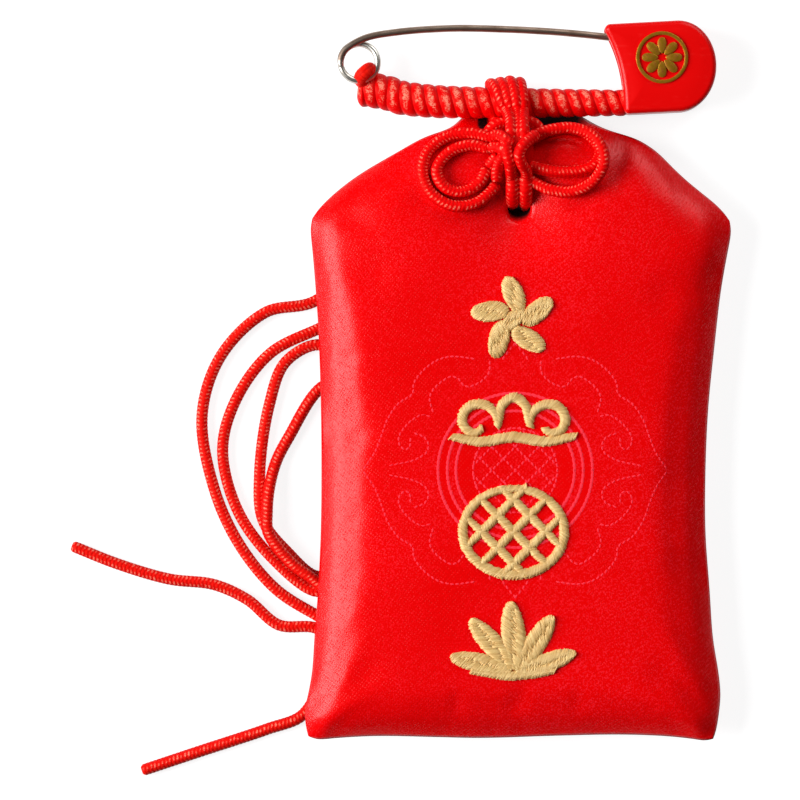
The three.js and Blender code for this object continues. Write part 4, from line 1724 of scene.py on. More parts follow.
@dataclass(frozen=True)
class Figure:
    """The figure woven into the front: rings in a frame of cloud scrolls, drawn by floating threads."""

    middle: Pair = (-0.6, -12.95)
    rings: tuple[float, ...] = (11.2, 9.85, 8.6)
    core: float = 6.1
    lattice_pitch: float = 2.4
    pitch: float = 0.74
    fine: float = 0.3
    dash: float = 1.12
    width: float = 0.5
    slim: float = 0.6
    thickness: float = 0.1
    sink: float = 0.024
    edge: float = 0.35
    ring_steps: int = 180
    scrolls: tuple[Line, ...] = (
        ((0.1, 18.3), (0.8, 17.5), (1.7, 16.3)),
        (
            (6.2, 16.2), (9, 16.5), (11.2, 16), (13.3, 14.5), (14.7, 12.6), (14.9, 11.1), (17, 9.6),
            (18.5, 7.4), (19.5, 4.7), (20.4, 2.5), (21.8, 0.4),
        ),
        (
            (3.7, 15.6), (3.8, 14.2), (5.4, 12.6), (7.3, 12.2), (8.2, 13.2), (9.2, 13.6), (10.6, 12.9),
            (12.1, 11.4), (12.4, 10.2), (12, 8.7),
        ),
        ((12.6, 7.9), (13.6, 8), (15.5, 6.8), (16.9, 4.7), (16.5, 3.3), (15.4, 3.2), (15.2, 4.4)),
        ((14.4, 5.3), (13.2, 4.8), (12.6, 3.8), (12.8, 2.7), (14.6, 1.5), (18, 0.7)),
    )

    def lines(self) -> list[tuple[np.ndarray, float]]:
        """Draws the figure flat, about its middle.

        Returns:
            Its lines, each with its share of the full width.
        """
        turn = np.linspace(0, 2 * math.pi, self.ring_steps + 1)
        circle = np.column_stack([np.cos(turn), np.sin(turn)])
        drawn = [(circle * radius, 1.0) for radius in self.rings]
        drawn += [(line, self.slim) for line in (circle * self.core, *self._lattice())]
        for scroll in self.scrolls:
            line = smooth_line(scroll, self.fine)
            drawn += [(line * np.array(hands), self.slim) for hands in ((1, 1), (-1, 1), (1, -1), (-1, -1))]
        return drawn

    def _lattice(self) -> list[np.ndarray]:
        """Slanting lines that cross in the core.

        Returns:
            The two ends of each line.
        """
        lines = []
        count = int(self.core / self.lattice_pitch)
        for k in range(-count, count + 1):
            offset = k * self.lattice_pitch
            half = math.sqrt(self.core**2 - offset**2)
            for hand in (1, -1):
                way, side = np.array([1, hand]) / math.sqrt(2), np.array([-hand, 1]) / math.sqrt(2)
                lines.append(np.array([side * offset - way * half, side * offset + way * half]))
        return lines

    def cover(self, places: np.ndarray) -> np.ndarray:
        """How far places lie on the figure's smooth bands, from 0 to 1.

        Args:
            places: Places on the cloth, across and up.

        Returns:
            The share at each place.
        """
        away = np.linalg.norm(places - np.array(self.middle), axis=1)
        outer, mid, inner = self.rings
        return np.maximum(self._within(away, mid, outer), self._within(away, self.core, inner))

    def _within(self, away: np.ndarray, low: float, high: float) -> np.ndarray:
        """How far distances lie between two others, from 0 to 1 past the soft edges."""
        return np.clip((away - low) / self.edge, 0, 1) * np.clip((high - away) / self.edge, 0, 1)

    def build(self, pouch: Pouch) -> None:
        """Floats the threads on the cloth.

        Args:
            pouch: The pouch that they lie on.
        """
        laid, breadths = [], []
        for line, breadth in self.lines():
            flat = evenly(line + np.array(self.middle), self.fine)
            laid.append(pouch.drape(flat, -self.sink))
            breadths += [breadth] * len(flat)
        host = line_mesh("woven_figure", laid)
        keep_numbers(host, "breadth", breadths)
        values = {
            "Pitch": self.pitch * MM,
            "Length": self.dash * MM,
            "Width": self.width * MM,
            "Thickness": self.thickness * MM,
            "Material": FloatThread().material(),
        }
        piece = DashGrowth().grow("woven_figure", host, values)
        place_piece(piece, Body.POUCH, Slot.SATIN)


# Embroidery


class Fill(Enum):
    """How a stroke of stitches swells along its line."""

    BAND = "band"
    OVAL = "oval"


@dataclass(frozen=True)
class Stroke:
    """A stitched shape along a line, with its widest width and how it swells."""

    line: Line
    width: float
    fill: Fill = Fill.BAND

    def half_width(self, share: np.ndarray) -> np.ndarray:
        """Half of the width at shares of the way along.

        Args:
            share: Shares of the way, from 0 to 1.

        Returns:
            Half of the width at each share.
        """
        tip, blunt = 0.62, 0.02
        if self.fill is Fill.OVAL:
            return self.width / 2 * np.sqrt(np.clip(1 - (2 * share - 1) ** 2, blunt, 1))
        return self.width / 2 * (tip + (1 - tip) * np.sin(math.pi * share) ** 0.6)


@dataclass(frozen=True)
class Motif:
    """One gold embroidery, drawn about its own middle."""

    name: str
    node: str
    strokes: tuple[Stroke, ...]


def petal(root: Place, degrees: float, middle: float, long: float, wide: float) -> Stroke:
    """A petal that stands off its root.

    Args:
        root: Place that it points away from.
        degrees: Direction that it points in.
        middle: Distance from the root to its middle.
        long: Half of its length.
        wide: Half of its width.

    Returns:
        The petal's stroke.
    """
    way = np.array([math.cos(math.radians(degrees)), math.sin(math.radians(degrees))])
    start, end = (np.array(root) + way * (middle + hand * long) for hand in (-1, 1))
    return Stroke((tuple(start), tuple((start + end) / 2), tuple(end)), 2 * wide, Fill.OVAL)


def curl(x: float, y: float, hand: int, radius: float, core: float, start: float, end: float) -> Line:
    """A line that winds in from one angle to another.

    Args:
        x: Distance of its middle from the motif's middle.
        y: Height of its middle.
        hand: 1, or -1 for its mirror image.
        radius: Radius at its start.
        core: Radius at its end.
        start: First angle in degrees.
        end: Last angle in degrees.

    Returns:
        Places along the line.
    """
    count = 13
    shares = np.linspace(0, 1, count)
    turns = np.radians(start + (end - start) * shares)
    away = radius + (core - radius) * shares
    return [(hand * (x + r * math.cos(t)), y + r * math.sin(t)) for r, t in zip(away, turns)]


def blossom_strokes() -> tuple[Stroke, ...]:
    """Five petals round a button."""
    petals = [petal((0, 0), 90 + 72 * k, 3.6, 2.3, 2.05) for k in range(5)]
    return (*petals, petal((0, 0), 20, 0, 1.7, 1.7))


def cloud_strokes() -> tuple[Stroke, ...]:
    """Two curls, an arch and a foot.

    Returns:
        The motif's strokes.
    """
    curls = [Stroke(curl(5.4, -0.3, hand, 3.1, 1.2, 180, -135), 1.6) for hand in (1, -1)]
    arch = Stroke(((-2.4, -1), (-1.6, 2.2), (0, 3.2), (1.6, 2.2), (2.4, -1)), 1.6)
    foot = Stroke(((-9, -2.4), (-4.6, -3.1), (0, -2.5), (4.6, -3.1), (9, -2.4)), 1.7)
    return (*curls, arch, foot)


def lattice_strokes() -> tuple[Stroke, ...]:
    """Crossed bars in an oval.

    Returns:
        The motif's strokes.
    """
    reach, spacing, shorten = 4.8, 3.3, 0.6
    bars = []
    for k in (-1, 0, 1):
        shift = k * spacing / math.sqrt(2)
        half = reach - abs(k) * shorten
        for hand in (1, -1):
            ends = ((shift - half, hand * (-shift - half)), (shift + half, hand * (half - shift)))
            bars.append(Stroke((ends[0], tuple(np.mean(ends, axis=0)), ends[1]), 1.4))
    turns = np.radians(np.linspace(95, 95 + 362, 25))
    oval = Stroke([(7.35 * math.cos(turn), 6.25 * math.sin(turn)) for turn in turns], 1.6)
    return (*bars, oval)


def lotus_strokes() -> tuple[Stroke, ...]:
    """Five leaves on a foot.

    Returns:
        The motif's strokes.
    """
    root = (0, -4.4)
    low, high, middle = (4.9, 4.4, 1.7), (5.2, 4.6, 1.9), (5.3, 4.8, 2.1)
    leaves = ((16, low), (164, low), (53, high), (127, high), (90, middle))
    petals = [petal(root, degrees, *sizes) for degrees, sizes in leaves]
    return (*petals, Stroke(((-6, -4.1), (0, -4.8), (6, -4.1)), 1.6))


DRAWN = {
    "blossom": blossom_strokes(),
    "cloud": cloud_strokes(),
    "lattice": lattice_strokes(),
    "lotus": lotus_strokes(),
}
MOTIFS = [Motif(f"{name}_stitches", f"motif_{name}", strokes) for name, strokes in DRAWN.items()]


@dataclass
class Embroidery:
    """Satin stitches laid across the strokes of each motif, on the pouch's cloth."""

    pouch: Pouch
    motifs: Sequence[Motif]
    spacing: float = 0.16
    thread: float = 0.24
    lift: float = 0.32
    slant: float = 34.0
    longest: float = 2.3
    ragged: float = 0.1
    seat: float = 0.04
    split: Pair = (0.35, 0.65)
    overlap: float = 0.6
    steps: int = 7
    sides: int = 6

    def build(self) -> None:
        """Stitches all motifs, each at its node's place."""
        tree = ThreadGrowth()
        chance = np.random.default_rng(SEED)
        values = {
            "Radius": self.thread / 2 * MM,
            "Lift": self.lift * MM,
            "Steps": self.steps,
            "Sides": self.sides,
            "Material": GoldThread().material(),
        }
        for motif in self.motifs:
            low, high = (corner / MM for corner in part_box(motif.node))
            middle = np.array([(low.x + high.x) / 2, (low.y + high.y) / 2])
            shift = middle - self._middle(motif)
            stitches = [pair for stroke in motif.strokes for pair in self._across(stroke, chance)]
            lines = [self.pouch.drape(pair + shift, self.seat) for pair in stitches]
            piece = tree.grow(motif.name, line_mesh(motif.name, lines), values)
            place_piece(piece, Body.POUCH, Slot.THREAD, motif.node)

    def _middle(self, motif: Motif) -> np.ndarray:
        """Finds the middle of a motif's box.

        Args:
            motif: The motif, drawn flat.

        Returns:
            The middle.
        """
        edges = []
        for stroke in motif.strokes:
            line, side, share = self._steps(stroke)
            half = stroke.half_width(share)[:, None]
            edges += [line + side * half, line - side * half]
        every = np.vstack(edges)
        return (every.min(axis=0) + every.max(axis=0)) / 2

    def _steps(self, stroke: Stroke) -> tuple[np.ndarray, np.ndarray, np.ndarray]:
        """Steps along a stroke.

        Args:
            stroke: The stroke.

        Returns:
            The place of each stitch, the way across there and the share of the way along.
        """
        line = smooth_line(stroke.line, self.spacing)
        way = np.gradient(line, axis=0)
        way /= np.linalg.norm(way, axis=1)[:, None]
        return line, np.column_stack([-way[:, 1], way[:, 0]]), np.linspace(0, 1, len(line))

    def _across(self, stroke: Stroke, chance: np.random.Generator) -> list[np.ndarray]:
        """Stitches across a stroke, with long ones laid as two.

        Args:
            stroke: The stroke to fill.
            chance: Source of the uneven ends.

        Returns:
            The two ends of each stitch.
        """
        line, side, share = self._steps(stroke)
        half = stroke.half_width(share)
        lean = math.radians(self.slant)
        along = np.column_stack([side[:, 1], -side[:, 0]])
        slanted = side * math.cos(lean) + along * math.sin(lean)
        stitches = []
        for place, way, reach in zip(line, slanted, half):
            ends = reach + chance.uniform(-self.ragged, self.ragged, 2)
            first, last = place + way * ends[0], place - way * ends[1]
            if 2 * reach > self.longest:
                part = chance.uniform(*self.split)
                split = first + (last - first) * part
                overlap = way * self.thread * self.overlap
                stitches += [np.array([first, split - overlap]), np.array([split + overlap, last])]
            else:
                stitches.append(np.array([first, last]))
        return stitches


# Bow


@dataclass(frozen=True)
class HangerStrand:
    """A strand round the pin.

    It has a distance from the sleeve's middle, a sink into the knot at its start, and places across at the
    bow's shares of the way.
    """

    reach: float
    sink: float
    across: tuple[float, ...]


@dataclass
class Bow:
    """The bow: two doubled loops, the knot, the strands round the pin and those into the hole."""

    pouch: Pouch
    cordage: Cordage
    knot: Pair = (-0.6, 33.4)
    knot_half: Spot = (2.9, 3.4, 1.95)
    seat: float = 0.3
    core_share: float = 0.92
    core_reach: float = 0.97
    core_rise: float = 0.8
    hangers: tuple[tuple[str, str, tuple[HangerStrand, HangerStrand]], ...] = (
        (
            "left_hanger",
            "hanger_left",
            (
                HangerStrand(2.75, 0.0, (-1.2, -1.3, -2.6, -4.1, -4.1, -3)),
                HangerStrand(2.95, 0.4, (-0.6, -0.6, -1.5, -2.75, -2.8, -2)),
            ),
        ),
        (
            "right_hanger",
            "hanger_right",
            (
                HangerStrand(3.15, 0.2, (0, -0.05, -0.4, -1.35, -1.5, -1.1)),
                HangerStrand(2.95, 0.0, (0.6, 0.6, 0.6, 0.1, -0.3, -0.2)),
            ),
        ),
    )
    hanger_shares: tuple[float, ...] = (0, 0.11, 0.22, 0.44, 0.65, 1)
    hanger_front: Line = ((-2.4, -0.2), (-0.9, 0.8), (0.9, -0.3))
    hanger_turns: tuple[float, float, int] = (110, -160, 13)
    hanger_rear: float = 1.5
    sleeve: Pair = (40.5, 4.0)
    hole_x: Pair = (-1.0, 0.9)
    hole_y: float = 26.05
    hole_bend: float = 3.0
    strand_foot: float = 5.15
    hole_strand: float = 2.05
    hole_clear: float = 0.75
    hole_lead: Line = ((1.2, 0.4), (-0.3, 0.0))
    loop_lift: float = 1.1
    loops: tuple[tuple[str, str, Line], ...] = (
        (
            "left_outer_loop",
            "bow_left_outer",
            (
                (-2.6, 1.7, 2), (-3.9, 2.0, 2), (-6.4, 2.6, 2), (-9.8, 2.1, 1.6), (-12.6, 0, 1.2),
                (-13.5, -2.9), (-12.4, -6), (-9.2, -8), (-5.8, -7.7, 1.2), (-3.6, -6, 1.2),
                (-2.6, -4.6, 1.2),
            ),
        ),
        (
            "left_inner_loop",
            "bow_left_inner",
            (
                (-3.6, 0.2, 1.3), (-6.6, 0.8, 1.2), (-9.6, -0.3), (-11.4, -2.8), (-10.4, -5.2), (-7.8, -6),
                (-5.3, -4.8), (-4, -2.4, 1.2),
            ),
        ),
        (
            "right_outer_loop",
            "bow_right_outer",
            (
                (1.8, 1.6, 2.6), (3.2, 2.4, 3), (5.4, 3.1, 3.6), (8.4, 3.3, 3.8), (11, 2.4, 3.4),
                (12.5, 0.4, 2.8), (12.8, -1.9, 2.4), (11.2, -4.6, 1.6), (8.5, -5.9), (5.2, -5.7),
                (3.1, -4.8), (1.7, -4),
            ),
        ),
        (
            "right_inner_loop",
            "bow_right_inner",
            (
                (1.6, 1.2), (3.4, 2.2), (5.6, 3.0), (8.4, 3.2), (10.9, 2.2), (12.3, 0.3), (12.1, -1.3),
                (10.8, -2.5), (8.2, -3.1), (5.4, -3.0), (3.4, -2.6), (1.7, -2.1),
            ),
        ),
    )
    knot_strands: tuple[Line, ...] = (
        (
            (3.2, 2.4, 0.3), (1.9, 1.5, 0.8), (0.9, 0.4, 1.1), (0.5, -0.7, 1.1), (0.8, -1.8, 0.9),
            (1.4, -2.8, 0.5), (1.6, -3.9, -0.4), (1.6, -4.9, -1.3),
        ),
        (
            (-1.3, 1.9, 0), (-1.4, 0.8, 0.7), (-1.3, -0.4, 0.9), (-0.9, -1.6, 0.8), (-0.7, -2.8, 0.4),
            (-0.65, -3.9, -0.4), (-0.65, -4.9, -1.3),
        ),
        ((-3.6, 2.1, 0.2), (-2.4, 2.2, 0.6), (-1.4, 1.6, 0.6), (-0.5, 0.6, 0.3)),
        ((-3.9, 0.2, 0.1), (-2.7, 0.5, 0.6), (-1.8, 0.0, 0.7), (-0.9, -0.7, 0.4)),
        ((-2.7, -4.6, -0.1), (-2.7, -3.1, 0.3), (-2.4, -1.7, 0.6), (-1.7, -0.7, 0.6)),
        ((-4.0, -2.4, -0.1), (-3.2, -1.5, 0.3), (-2.4, -0.7, 0.5)),
        (
            (-4.0, 1.9, -2.6), (-3.8, 2.9, -2.6), (-2.8, 3.8, -2.6), (-1.0, 4.2, -3.0), (1.4, 4.3, -3.0),
            (2.8, 4.0, -2.6), (3.5, 3.2, -2.6), (3.6, 2.2, -2.8),
        ),
    )
    knot_z: float = field(init=False)

    def build(self) -> None:
        """Ties the bow."""
        self.knot_z = self.pouch.height(*self.knot) + self.seat + self.knot_half[2]
        for name, node, places in self.loops:
            piece = self.cordage.lay(name, [[self._on_cloth(at) for at in places]])
            place_piece(piece, Body.POUCH, Slot.CORD, node)
        self._build_knot()
        self._build_hangers()
        self._build_hole_strands()

    def _on_cloth(self, place: Place) -> Spot:
        """A place across and up from the knot, lifted off the cloth by its own lift or the loops'.

        Args:
            place: How far across and up, and its own lift if it has one.

        Returns:
            The place in the object's own frame.
        """
        across, up, lift = (*place, self.loop_lift)[:3]
        x, y = self.knot[0] + across, self.knot[1] + up
        return x, y, self.pouch.height(x, y) + lift

    def _on_knot(self, place: Place) -> Spot:
        """A place across and up from the knot's middle, lifted off its round core.

        Args:
            place: How far across, up and off the core.

        Returns:
            The place in the object's own frame.
        """
        across, up, lift = place
        reach = min(self.core_reach, (across / self.knot_half[0]) ** 2 + (up / self.knot_half[1]) ** 2)
        core = self.knot_half[2] * math.sqrt(1 - reach)
        return self.knot[0] + across, self.knot[1] + up, self.knot_z + core * self.core_rise + lift

    def _build_knot(self) -> None:
        """Winds strands over the knot's core."""
        wound = [[self._on_knot(at) for at in strand] for strand in self.knot_strands]
        strands = self.cordage.lay("knot_strands", wound)
        work = bmesh.new()
        bmesh.ops.create_uvsphere(work, u_segments=32, v_segments=20, radius=1)
        half = Vector(self.knot_half) * MM
        bmesh.ops.scale(work, vec=half * self.core_share, verts=work.verts)
        bmesh.ops.translate(work, vec=Vector((*self.knot, self.knot_z)) * MM, verts=work.verts)
        work.from_mesh(strands.data)
        work.to_mesh(strands.data)
        work.free()
        shade_smooth(strands.data)
        place_piece(strands, Body.POUCH, Slot.CORD, "bow_knot")

    def _build_hangers(self) -> None:
        """Loops two doubled strands round the pin."""
        middle_y, middle_z = self.sleeve
        top, under = self.knot[1] + self.knot_half[1], self.knot_z - self.knot_half[2]
        turns = np.radians(np.linspace(*self.hanger_turns))
        front = [(top + up, self.knot_z + lift) for up, lift in self.hanger_front]
        for name, node, strands in self.hangers:
            laid = []
            for strand in strands:
                reach, behind = strand.reach, middle_y - strand.reach
                bend = [(middle_y + reach * math.cos(t), middle_z + reach * math.sin(t)) for t in turns]
                rear = [
                    (behind, middle_z),
                    (behind - self.seat, middle_z + self.hanger_rear),
                    (top - self.seat, under),
                ]
                ways = [*front, *bend, *rear]
                shares = np.linspace(0, 1, len(ways))
                across = np.interp(shares, self.hanger_shares, strand.across)
                lifts = np.interp(shares, self.hanger_shares, [-strand.sink, -strand.sink, 0, 0, 0, 0])
                laid.append([(x, y, z + lift) for x, (y, z), lift in zip(across, ways, lifts)])
            place_piece(self.cordage.lay(name, laid), Body.POUCH, Slot.CORD, node)

    def _build_hole_strands(self) -> None:
        """Leads the strands from the knot into the hole."""
        foot, bend = self.knot[1] - self.knot_half[1], self.hole_bend
        names = {"left_hole_strand": "hole_strand_left", "right_hole_strand": "hole_strand_right"}
        for (name, node), x in zip(names.items(), self.hole_x):
            over = self.pouch.height(x, self.hole_y + bend) + self.hole_strand * self.hole_clear
            line = [(x, foot + up, over + lift) for up, lift in self.hole_lead]
            for turn in np.radians([90, 60, 30, 0]):
                y = self.hole_y + bend * (1 - math.cos(turn))
                line.append((x, y, over - bend * (1 - math.sin(turn))))
            line.append((x, self.hole_y, self.strand_foot))
            piece = self.cordage.lay(name, [line], Radius=self.hole_strand / 2 * MM)
            place_piece(piece, Body.POUCH, Slot.CORD, node)


# Pin


@dataclass
class Pin:
    """The safety pin: coiled wire with its wound sleeve, sprung arm and clasp."""

    cordage: Cordage
    axis_y: float = 40.5
    axis_z: float = 4.0
    wire: float = 0.9
    arm_wire: float = 1.02
    coil: Pair = (-23.24, 46.4)
    coil_radius: float = 2.7
    coil_pitch: float = 1.8
    coil_start: float = 205.0
    coil_lap: float = 44.0
    coil_level: float = 255.0
    coil_end: float = 630.0
    coil_step: float = 12.0
    coil_top: float = -0.93
    arm_start: float = 131.0
    wire_step: float = 0.25
    wire_seal: float = 0.3
    arm_point: float = 2.0
    arm_tip: float = 22.06
    arm_crown: float = 4.9
    sleeve_end: float = 14.96
    wire_end: float = 22.26
    sleeve_diameter: float = 4.3
    tie: float = 2.05
    tie_lead: float = 0.34
    sleeve_taper: float = 0.75
    sleeve_lead: float = 1.88
    sleeve_relief: float = 0.32
    sleeve_seal: float = 1.1
    sleeve_sides: int = 56
    tie_slant: float = 0.2
    arm_bow: Line = (
        (0.02, 0.71), (0.125, 0.89), (0.295, 1), (0.46, 0.98), (0.63, 0.9), (0.79, 0.76), (0.9, 0.62),
        (1, 0.52),
    )

    def build(self) -> None:
        """Makes the wire, the arm and the sleeve, and dresses the clasp."""
        bright, dull = BRIGHT_STEEL.material(), DULL_STEEL.material()
        fixed = [*self._coil_places(), *self._run_places()]
        drawn = (
            ("coiled_wire", "pin_wire", Body.PIN, fixed, bright, self.wire, self.wire_seal),
            ("sprung_arm", "pin_arm", Body.ARM, self._arm_places(), dull, self.arm_wire, self.arm_point),
        )
        for name, node, body, places, steel, diameter, seal in drawn:
            sizes = {"Radius": diameter / 2 * MM, "Seal": seal * MM, "Relief": 0.0}
            piece = self.cordage.lay(name, [places], steel, step=self.wire_step, **sizes)
            place_piece(piece, body, Slot.STEEL, node)
        self._sleeve()
        dress(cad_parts["pin_clasp"].data, bright)

    def _on_coil(self, degrees: float, z: float) -> Spot:
        """A place on the coil.

        Args:
            degrees: The turn about the coil's middle.
            z: The height.

        Returns:
            The place in the object's own frame.
        """
        turn = math.radians(degrees)
        x, y = self.coil
        return x + self.coil_radius * math.cos(turn), y + self.coil_radius * math.sin(turn), z

    def _coil_places(self) -> list[Spot]:
        """Two turns of the coil, down from the arm.

        Returns:
            The places, in order.
        """
        turns = np.arange(self.coil_start - self.coil_lap - 360, self.coil_end, self.coil_step)
        drops = np.maximum(self.coil_top, (turns - self.coil_level) / 360)
        return [self._on_coil(turn, self.axis_z - self.coil_pitch * drop) for turn, drop in zip(turns, drops)]

    def _run_places(self) -> list[Spot]:
        """Places along the fixed wire, from the coil to its end in the cap.

        Returns:
            The places, in order.
        """
        x, y = self.coil
        pitch, z = self.coil_pitch, self.axis_z
        return [
            (x + 1.6, y - self.coil_radius - 0.35, z - pitch),
            (x + 3.7, y - self.coil_radius - 1.6, z - pitch * 0.6),
            (x + 6.4, self.axis_y + 0.8, z - pitch * 0.3),
            (x + 10.5, self.axis_y + 0.15, z - pitch * 0.06),
            (x + 14.5, self.axis_y, z),
            (0, self.axis_y, z),
            (self.sleeve_end, self.axis_y, z),
            (self.wire_end, self.axis_y, z),
        ]

    def _arm_places(self) -> list[Spot]:
        """Half a turn of the coil, then the bow of the arm into the cap.

        Returns:
            The places, in order.
        """
        top = self.axis_z + self.coil_pitch
        half = [self._on_coil(turn, top) for turn in np.linspace(self.coil_start, self.arm_start, 7)]
        level = self.arm_bow[-3][0]
        reach = self.arm_tip - self.coil[0]
        bow = [
            (
                self.coil[0] + along * reach,
                self.coil[1] + rise * self.arm_crown,
                top + min(1, along / level) * (self.axis_z - top),
            )
            for along, rise in self.arm_bow
        ]
        return half + bow

    def _sleeve(self) -> None:
        """Winds the sleeve on the fixed wire and ties its start round the coil."""
        sizes = {
            "Radius": self.sleeve_diameter / 2 * MM,
            "Lead": self.sleeve_lead * MM,
            "Relief": self.sleeve_relief * MM,
            "Sides": self.sleeve_sides,
            "Seal": self.sleeve_seal * MM,
            "Taper": self.sleeve_taper * MM,
        }
        material, places = SLEEVE_CORD.material(), self._sleeve_places()
        sleeve = self.cordage.lay("braided_sleeve", [places], material, WoundGrowth(), **sizes)
        place_piece(sleeve, Body.PIN, Slot.CORD, "pin_sleeve")
        sizes = {"Radius": self.tie / 2 * MM, "Lead": self.tie_lead * MM, "Slant": self.tie_slant}
        tie = self.cordage.lay("sleeve_tie", [self._tie_places()], HITCHED_CORD.material(), **sizes)
        place_piece(tie, Body.PIN, Slot.CORD)

    def _sleeve_places(self) -> list[Spot]:
        """Places along the sleeve's middle, from the coil into the cap.

        Returns:
            The places, in order.
        """
        x, y, z = self.coil[0], self.axis_y, self.axis_z
        return [
            (x - 0.2, y + 2.2, z - 1.5), (x + 1.6, y + 1.95, z - 1.35), (x + 4.0, y + 1.5, z - 1.05),
            (x + 6.1, y + 0.8, z - 0.7), (x + 10.6, y + 0.25, z - 0.1), (x + 14.3, y + 0.1, z), (0, y, z),
            (self.sleeve_end, y, z), (self.sleeve_end + 1.4, y, z),
        ]

    def _tie_places(self) -> list[Spot]:
        """Places along the end of the sleeve's cord, which is hitched over the coil.

        Returns:
            The places, in order.
        """
        x, y = self.coil
        return [
            (x + 1.1, y - 3.4, 3.0), (x + 0.3, y - 2.6, 4.8), (x + 0.35, y - 2.05, 5.8),
            (x + 0.9, y - 1.5, 6.1), (x + 1.45, y - 1.1, 5.5), (x + 1.6, y - 1.3, 3.8),
            (x + 1.7, y - 2.5, 2.0), (x + 1.7, y - 3.6, 1.7),
        ]


@dataclass
class Cap:
    """The pin's plastic cap with its slot, and the gilt round on its face."""

    right: float = 28.66
    width: float = 16.2
    top: float = 52.4
    height: float = 13.6
    thickness: float = 7.6
    bevel: float = 0.8
    hollow: float = 2.8
    hollow_drop: float = 5.5
    dome: float = 0.22
    dome_steps: Line = ((0.9, 0.4), (0.88, 0.72), (0.85, 0.92), (0.8, 1.0))
    nose: float = 5.5
    slope: Pair = (0.52, 0.35)
    slot_width: float = 3.3
    slot_end: float = 24.46
    slot_depth: float = 9.4
    middle_z: float = 4.0
    emblem: Pair = (20.72, 46.98)
    emblem_radius: float = 3.78
    ring_width: float = 0.5
    petals: int = 8
    leaf_start: float = 0.55
    leaf_wide: float = 0.62
    leaf_gap: float = 0.35
    leaf_lean: float = 0.25
    foil_edge: float = 0.06
    nose_steps: int = 33
    hollow_steps: int = 19
    edge_steps: int = 17
    corner_steps: int = 7
    corner_degrees: float = 20.0
    cap_crease: float = 38.0
    foil_crease: float = 40.0

    def build(self) -> None:
        """Moulds the cap and stamps its round."""
        piece = new_piece("moulded_cap", self._moulding())
        dress(piece.data, Plastic().material())
        self._cut_slot(piece)
        weighted = piece.modifiers.new("shading", "WEIGHTED_NORMAL")
        weighted.keep_sharp = True
        shade_smooth(piece.data, self.cap_crease)
        finish_shape(piece)
        place_piece(piece, Body.PIN, Slot.CAP, "pin_cap")
        self._stamp()

    def _outline(self) -> tuple[np.ndarray, np.ndarray]:
        """Draws the cap's outline inside its round edge.

        Returns:
            Its places, and the way out at each.
        """
        left, right = self.right - self.width + self.bevel, self.right - self.bevel
        top, bottom = self.top - self.bevel, self.top - self.height + self.bevel
        foot_x = left + self.hollow
        across, up = self.nose - self.bevel, (top - bottom - self.slope[1]) / 2
        turns = np.radians(np.linspace(-90, 90, self.nose_steps))
        nose = np.column_stack([right - across + across * np.cos(turns), top - up + up * np.sin(turns)])
        ends = np.array([[left, top - self.slope[0]], [foot_x, top - self.hollow_drop], [foot_x, bottom]])
        t = np.linspace(0, 1, self.hollow_steps)[:, None]
        hollow = (1 - t) ** 2 * ends[0] + 2 * t * (1 - t) * ends[1] + t**2 * ends[2]
        line = np.vstack([nose, hollow])
        places, ways = [], []
        for k, here in enumerate(line):
            before, after = here - line[k - 1], line[(k + 1) % len(line)] - here
            turns = [math.atan2(-way[0], way[1]) for way in (before, after)]
            gap = (turns[1] - turns[0] + math.pi) % (2 * math.pi) - math.pi
            fan = self.corner_steps if gap > math.radians(self.corner_degrees) else 1
            for share in (np.linspace(0, 1, fan) if fan > 1 else [0.5]):
                turn = turns[0] + gap * share
                places.append(here)
                ways.append((math.cos(turn), math.sin(turn)))
        return np.array(places), np.array(ways)

    def _moulding(self) -> Mesh:
        """Makes the cap as a plate with a round edge and a low dome.

        Returns:
            The mesh.
        """
        places, ways = self._outline()
        half = self.thickness / 2
        steps = np.radians(np.linspace(-90, 90, self.edge_steps))
        rings = []
        for turn in steps:
            z = self.middle_z + math.copysign(half - self.bevel, math.sin(turn)) + self.bevel * math.sin(turn)
            edge = places + ways * self.bevel * math.cos(turn)
            rings.append(np.column_stack([edge, np.full(len(places), z)]))
        flat = abs(steps).argmin()
        rings.insert(flat + 1, rings[flat] * [1, 1, 0] + [0, 0, self.middle_z + half - self.bevel])
        rings[flat] = rings[flat] * [1, 1, 0] + [0, 0, self.middle_z - half + self.bevel]
        rings = [ring - [0, 0, self.dome] * (ring[:, 2:] > self.middle_z) for ring in rings]
        middle = np.array([*self.emblem, 0])
        for share, rise in self.dome_steps:
            inner = (rings[-1] - middle) * [share, share, 1] + middle
            rings.append(inner * [1, 1, 0] + [0, 0, self.middle_z + half - self.dome * (1 - rise)])
        count = len(places)
        faces = [face for r in range(len(rings) - 1) for face in band(r * count, (r + 1) * count, count)]
        faces += [tuple(range(count))[::-1], tuple(range((len(rings) - 1) * count, len(rings) * count))]
        return mend(new_mesh("moulded_cap", np.vstack(rings), faces), DOUBLE_GAP)

    def _cut_slot(self, piece: Object) -> None:
        """Cuts the slot that the arm drops into.

        Args:
            piece: The moulded cap.
        """
        past, half = 2.0, self.slot_width / 2
        across = (self.right - self.width - past, self.slot_end)
        along = (self.top - self.slot_depth, self.top + past)
        levels = (self.middle_z - half, self.middle_z + half)
        corners = np.array([(x, y, z) for z in levels for y in along for x in across])
        faces = [(0, 2, 3, 1), (4, 5, 7, 6), (0, 1, 5, 4), (2, 6, 7, 3), (0, 4, 6, 2), (1, 3, 7, 5)]
        cutter = new_piece("slot_cutter", new_mesh("slot_cutter", corners, faces))
        cut = piece.modifiers.new("slot", "BOOLEAN")
        cut.operation = "DIFFERENCE"
        cut.solver = "EXACT"
        cut.object = cutter
        finish_shape(piece)
        bpy.data.objects.remove(cutter)

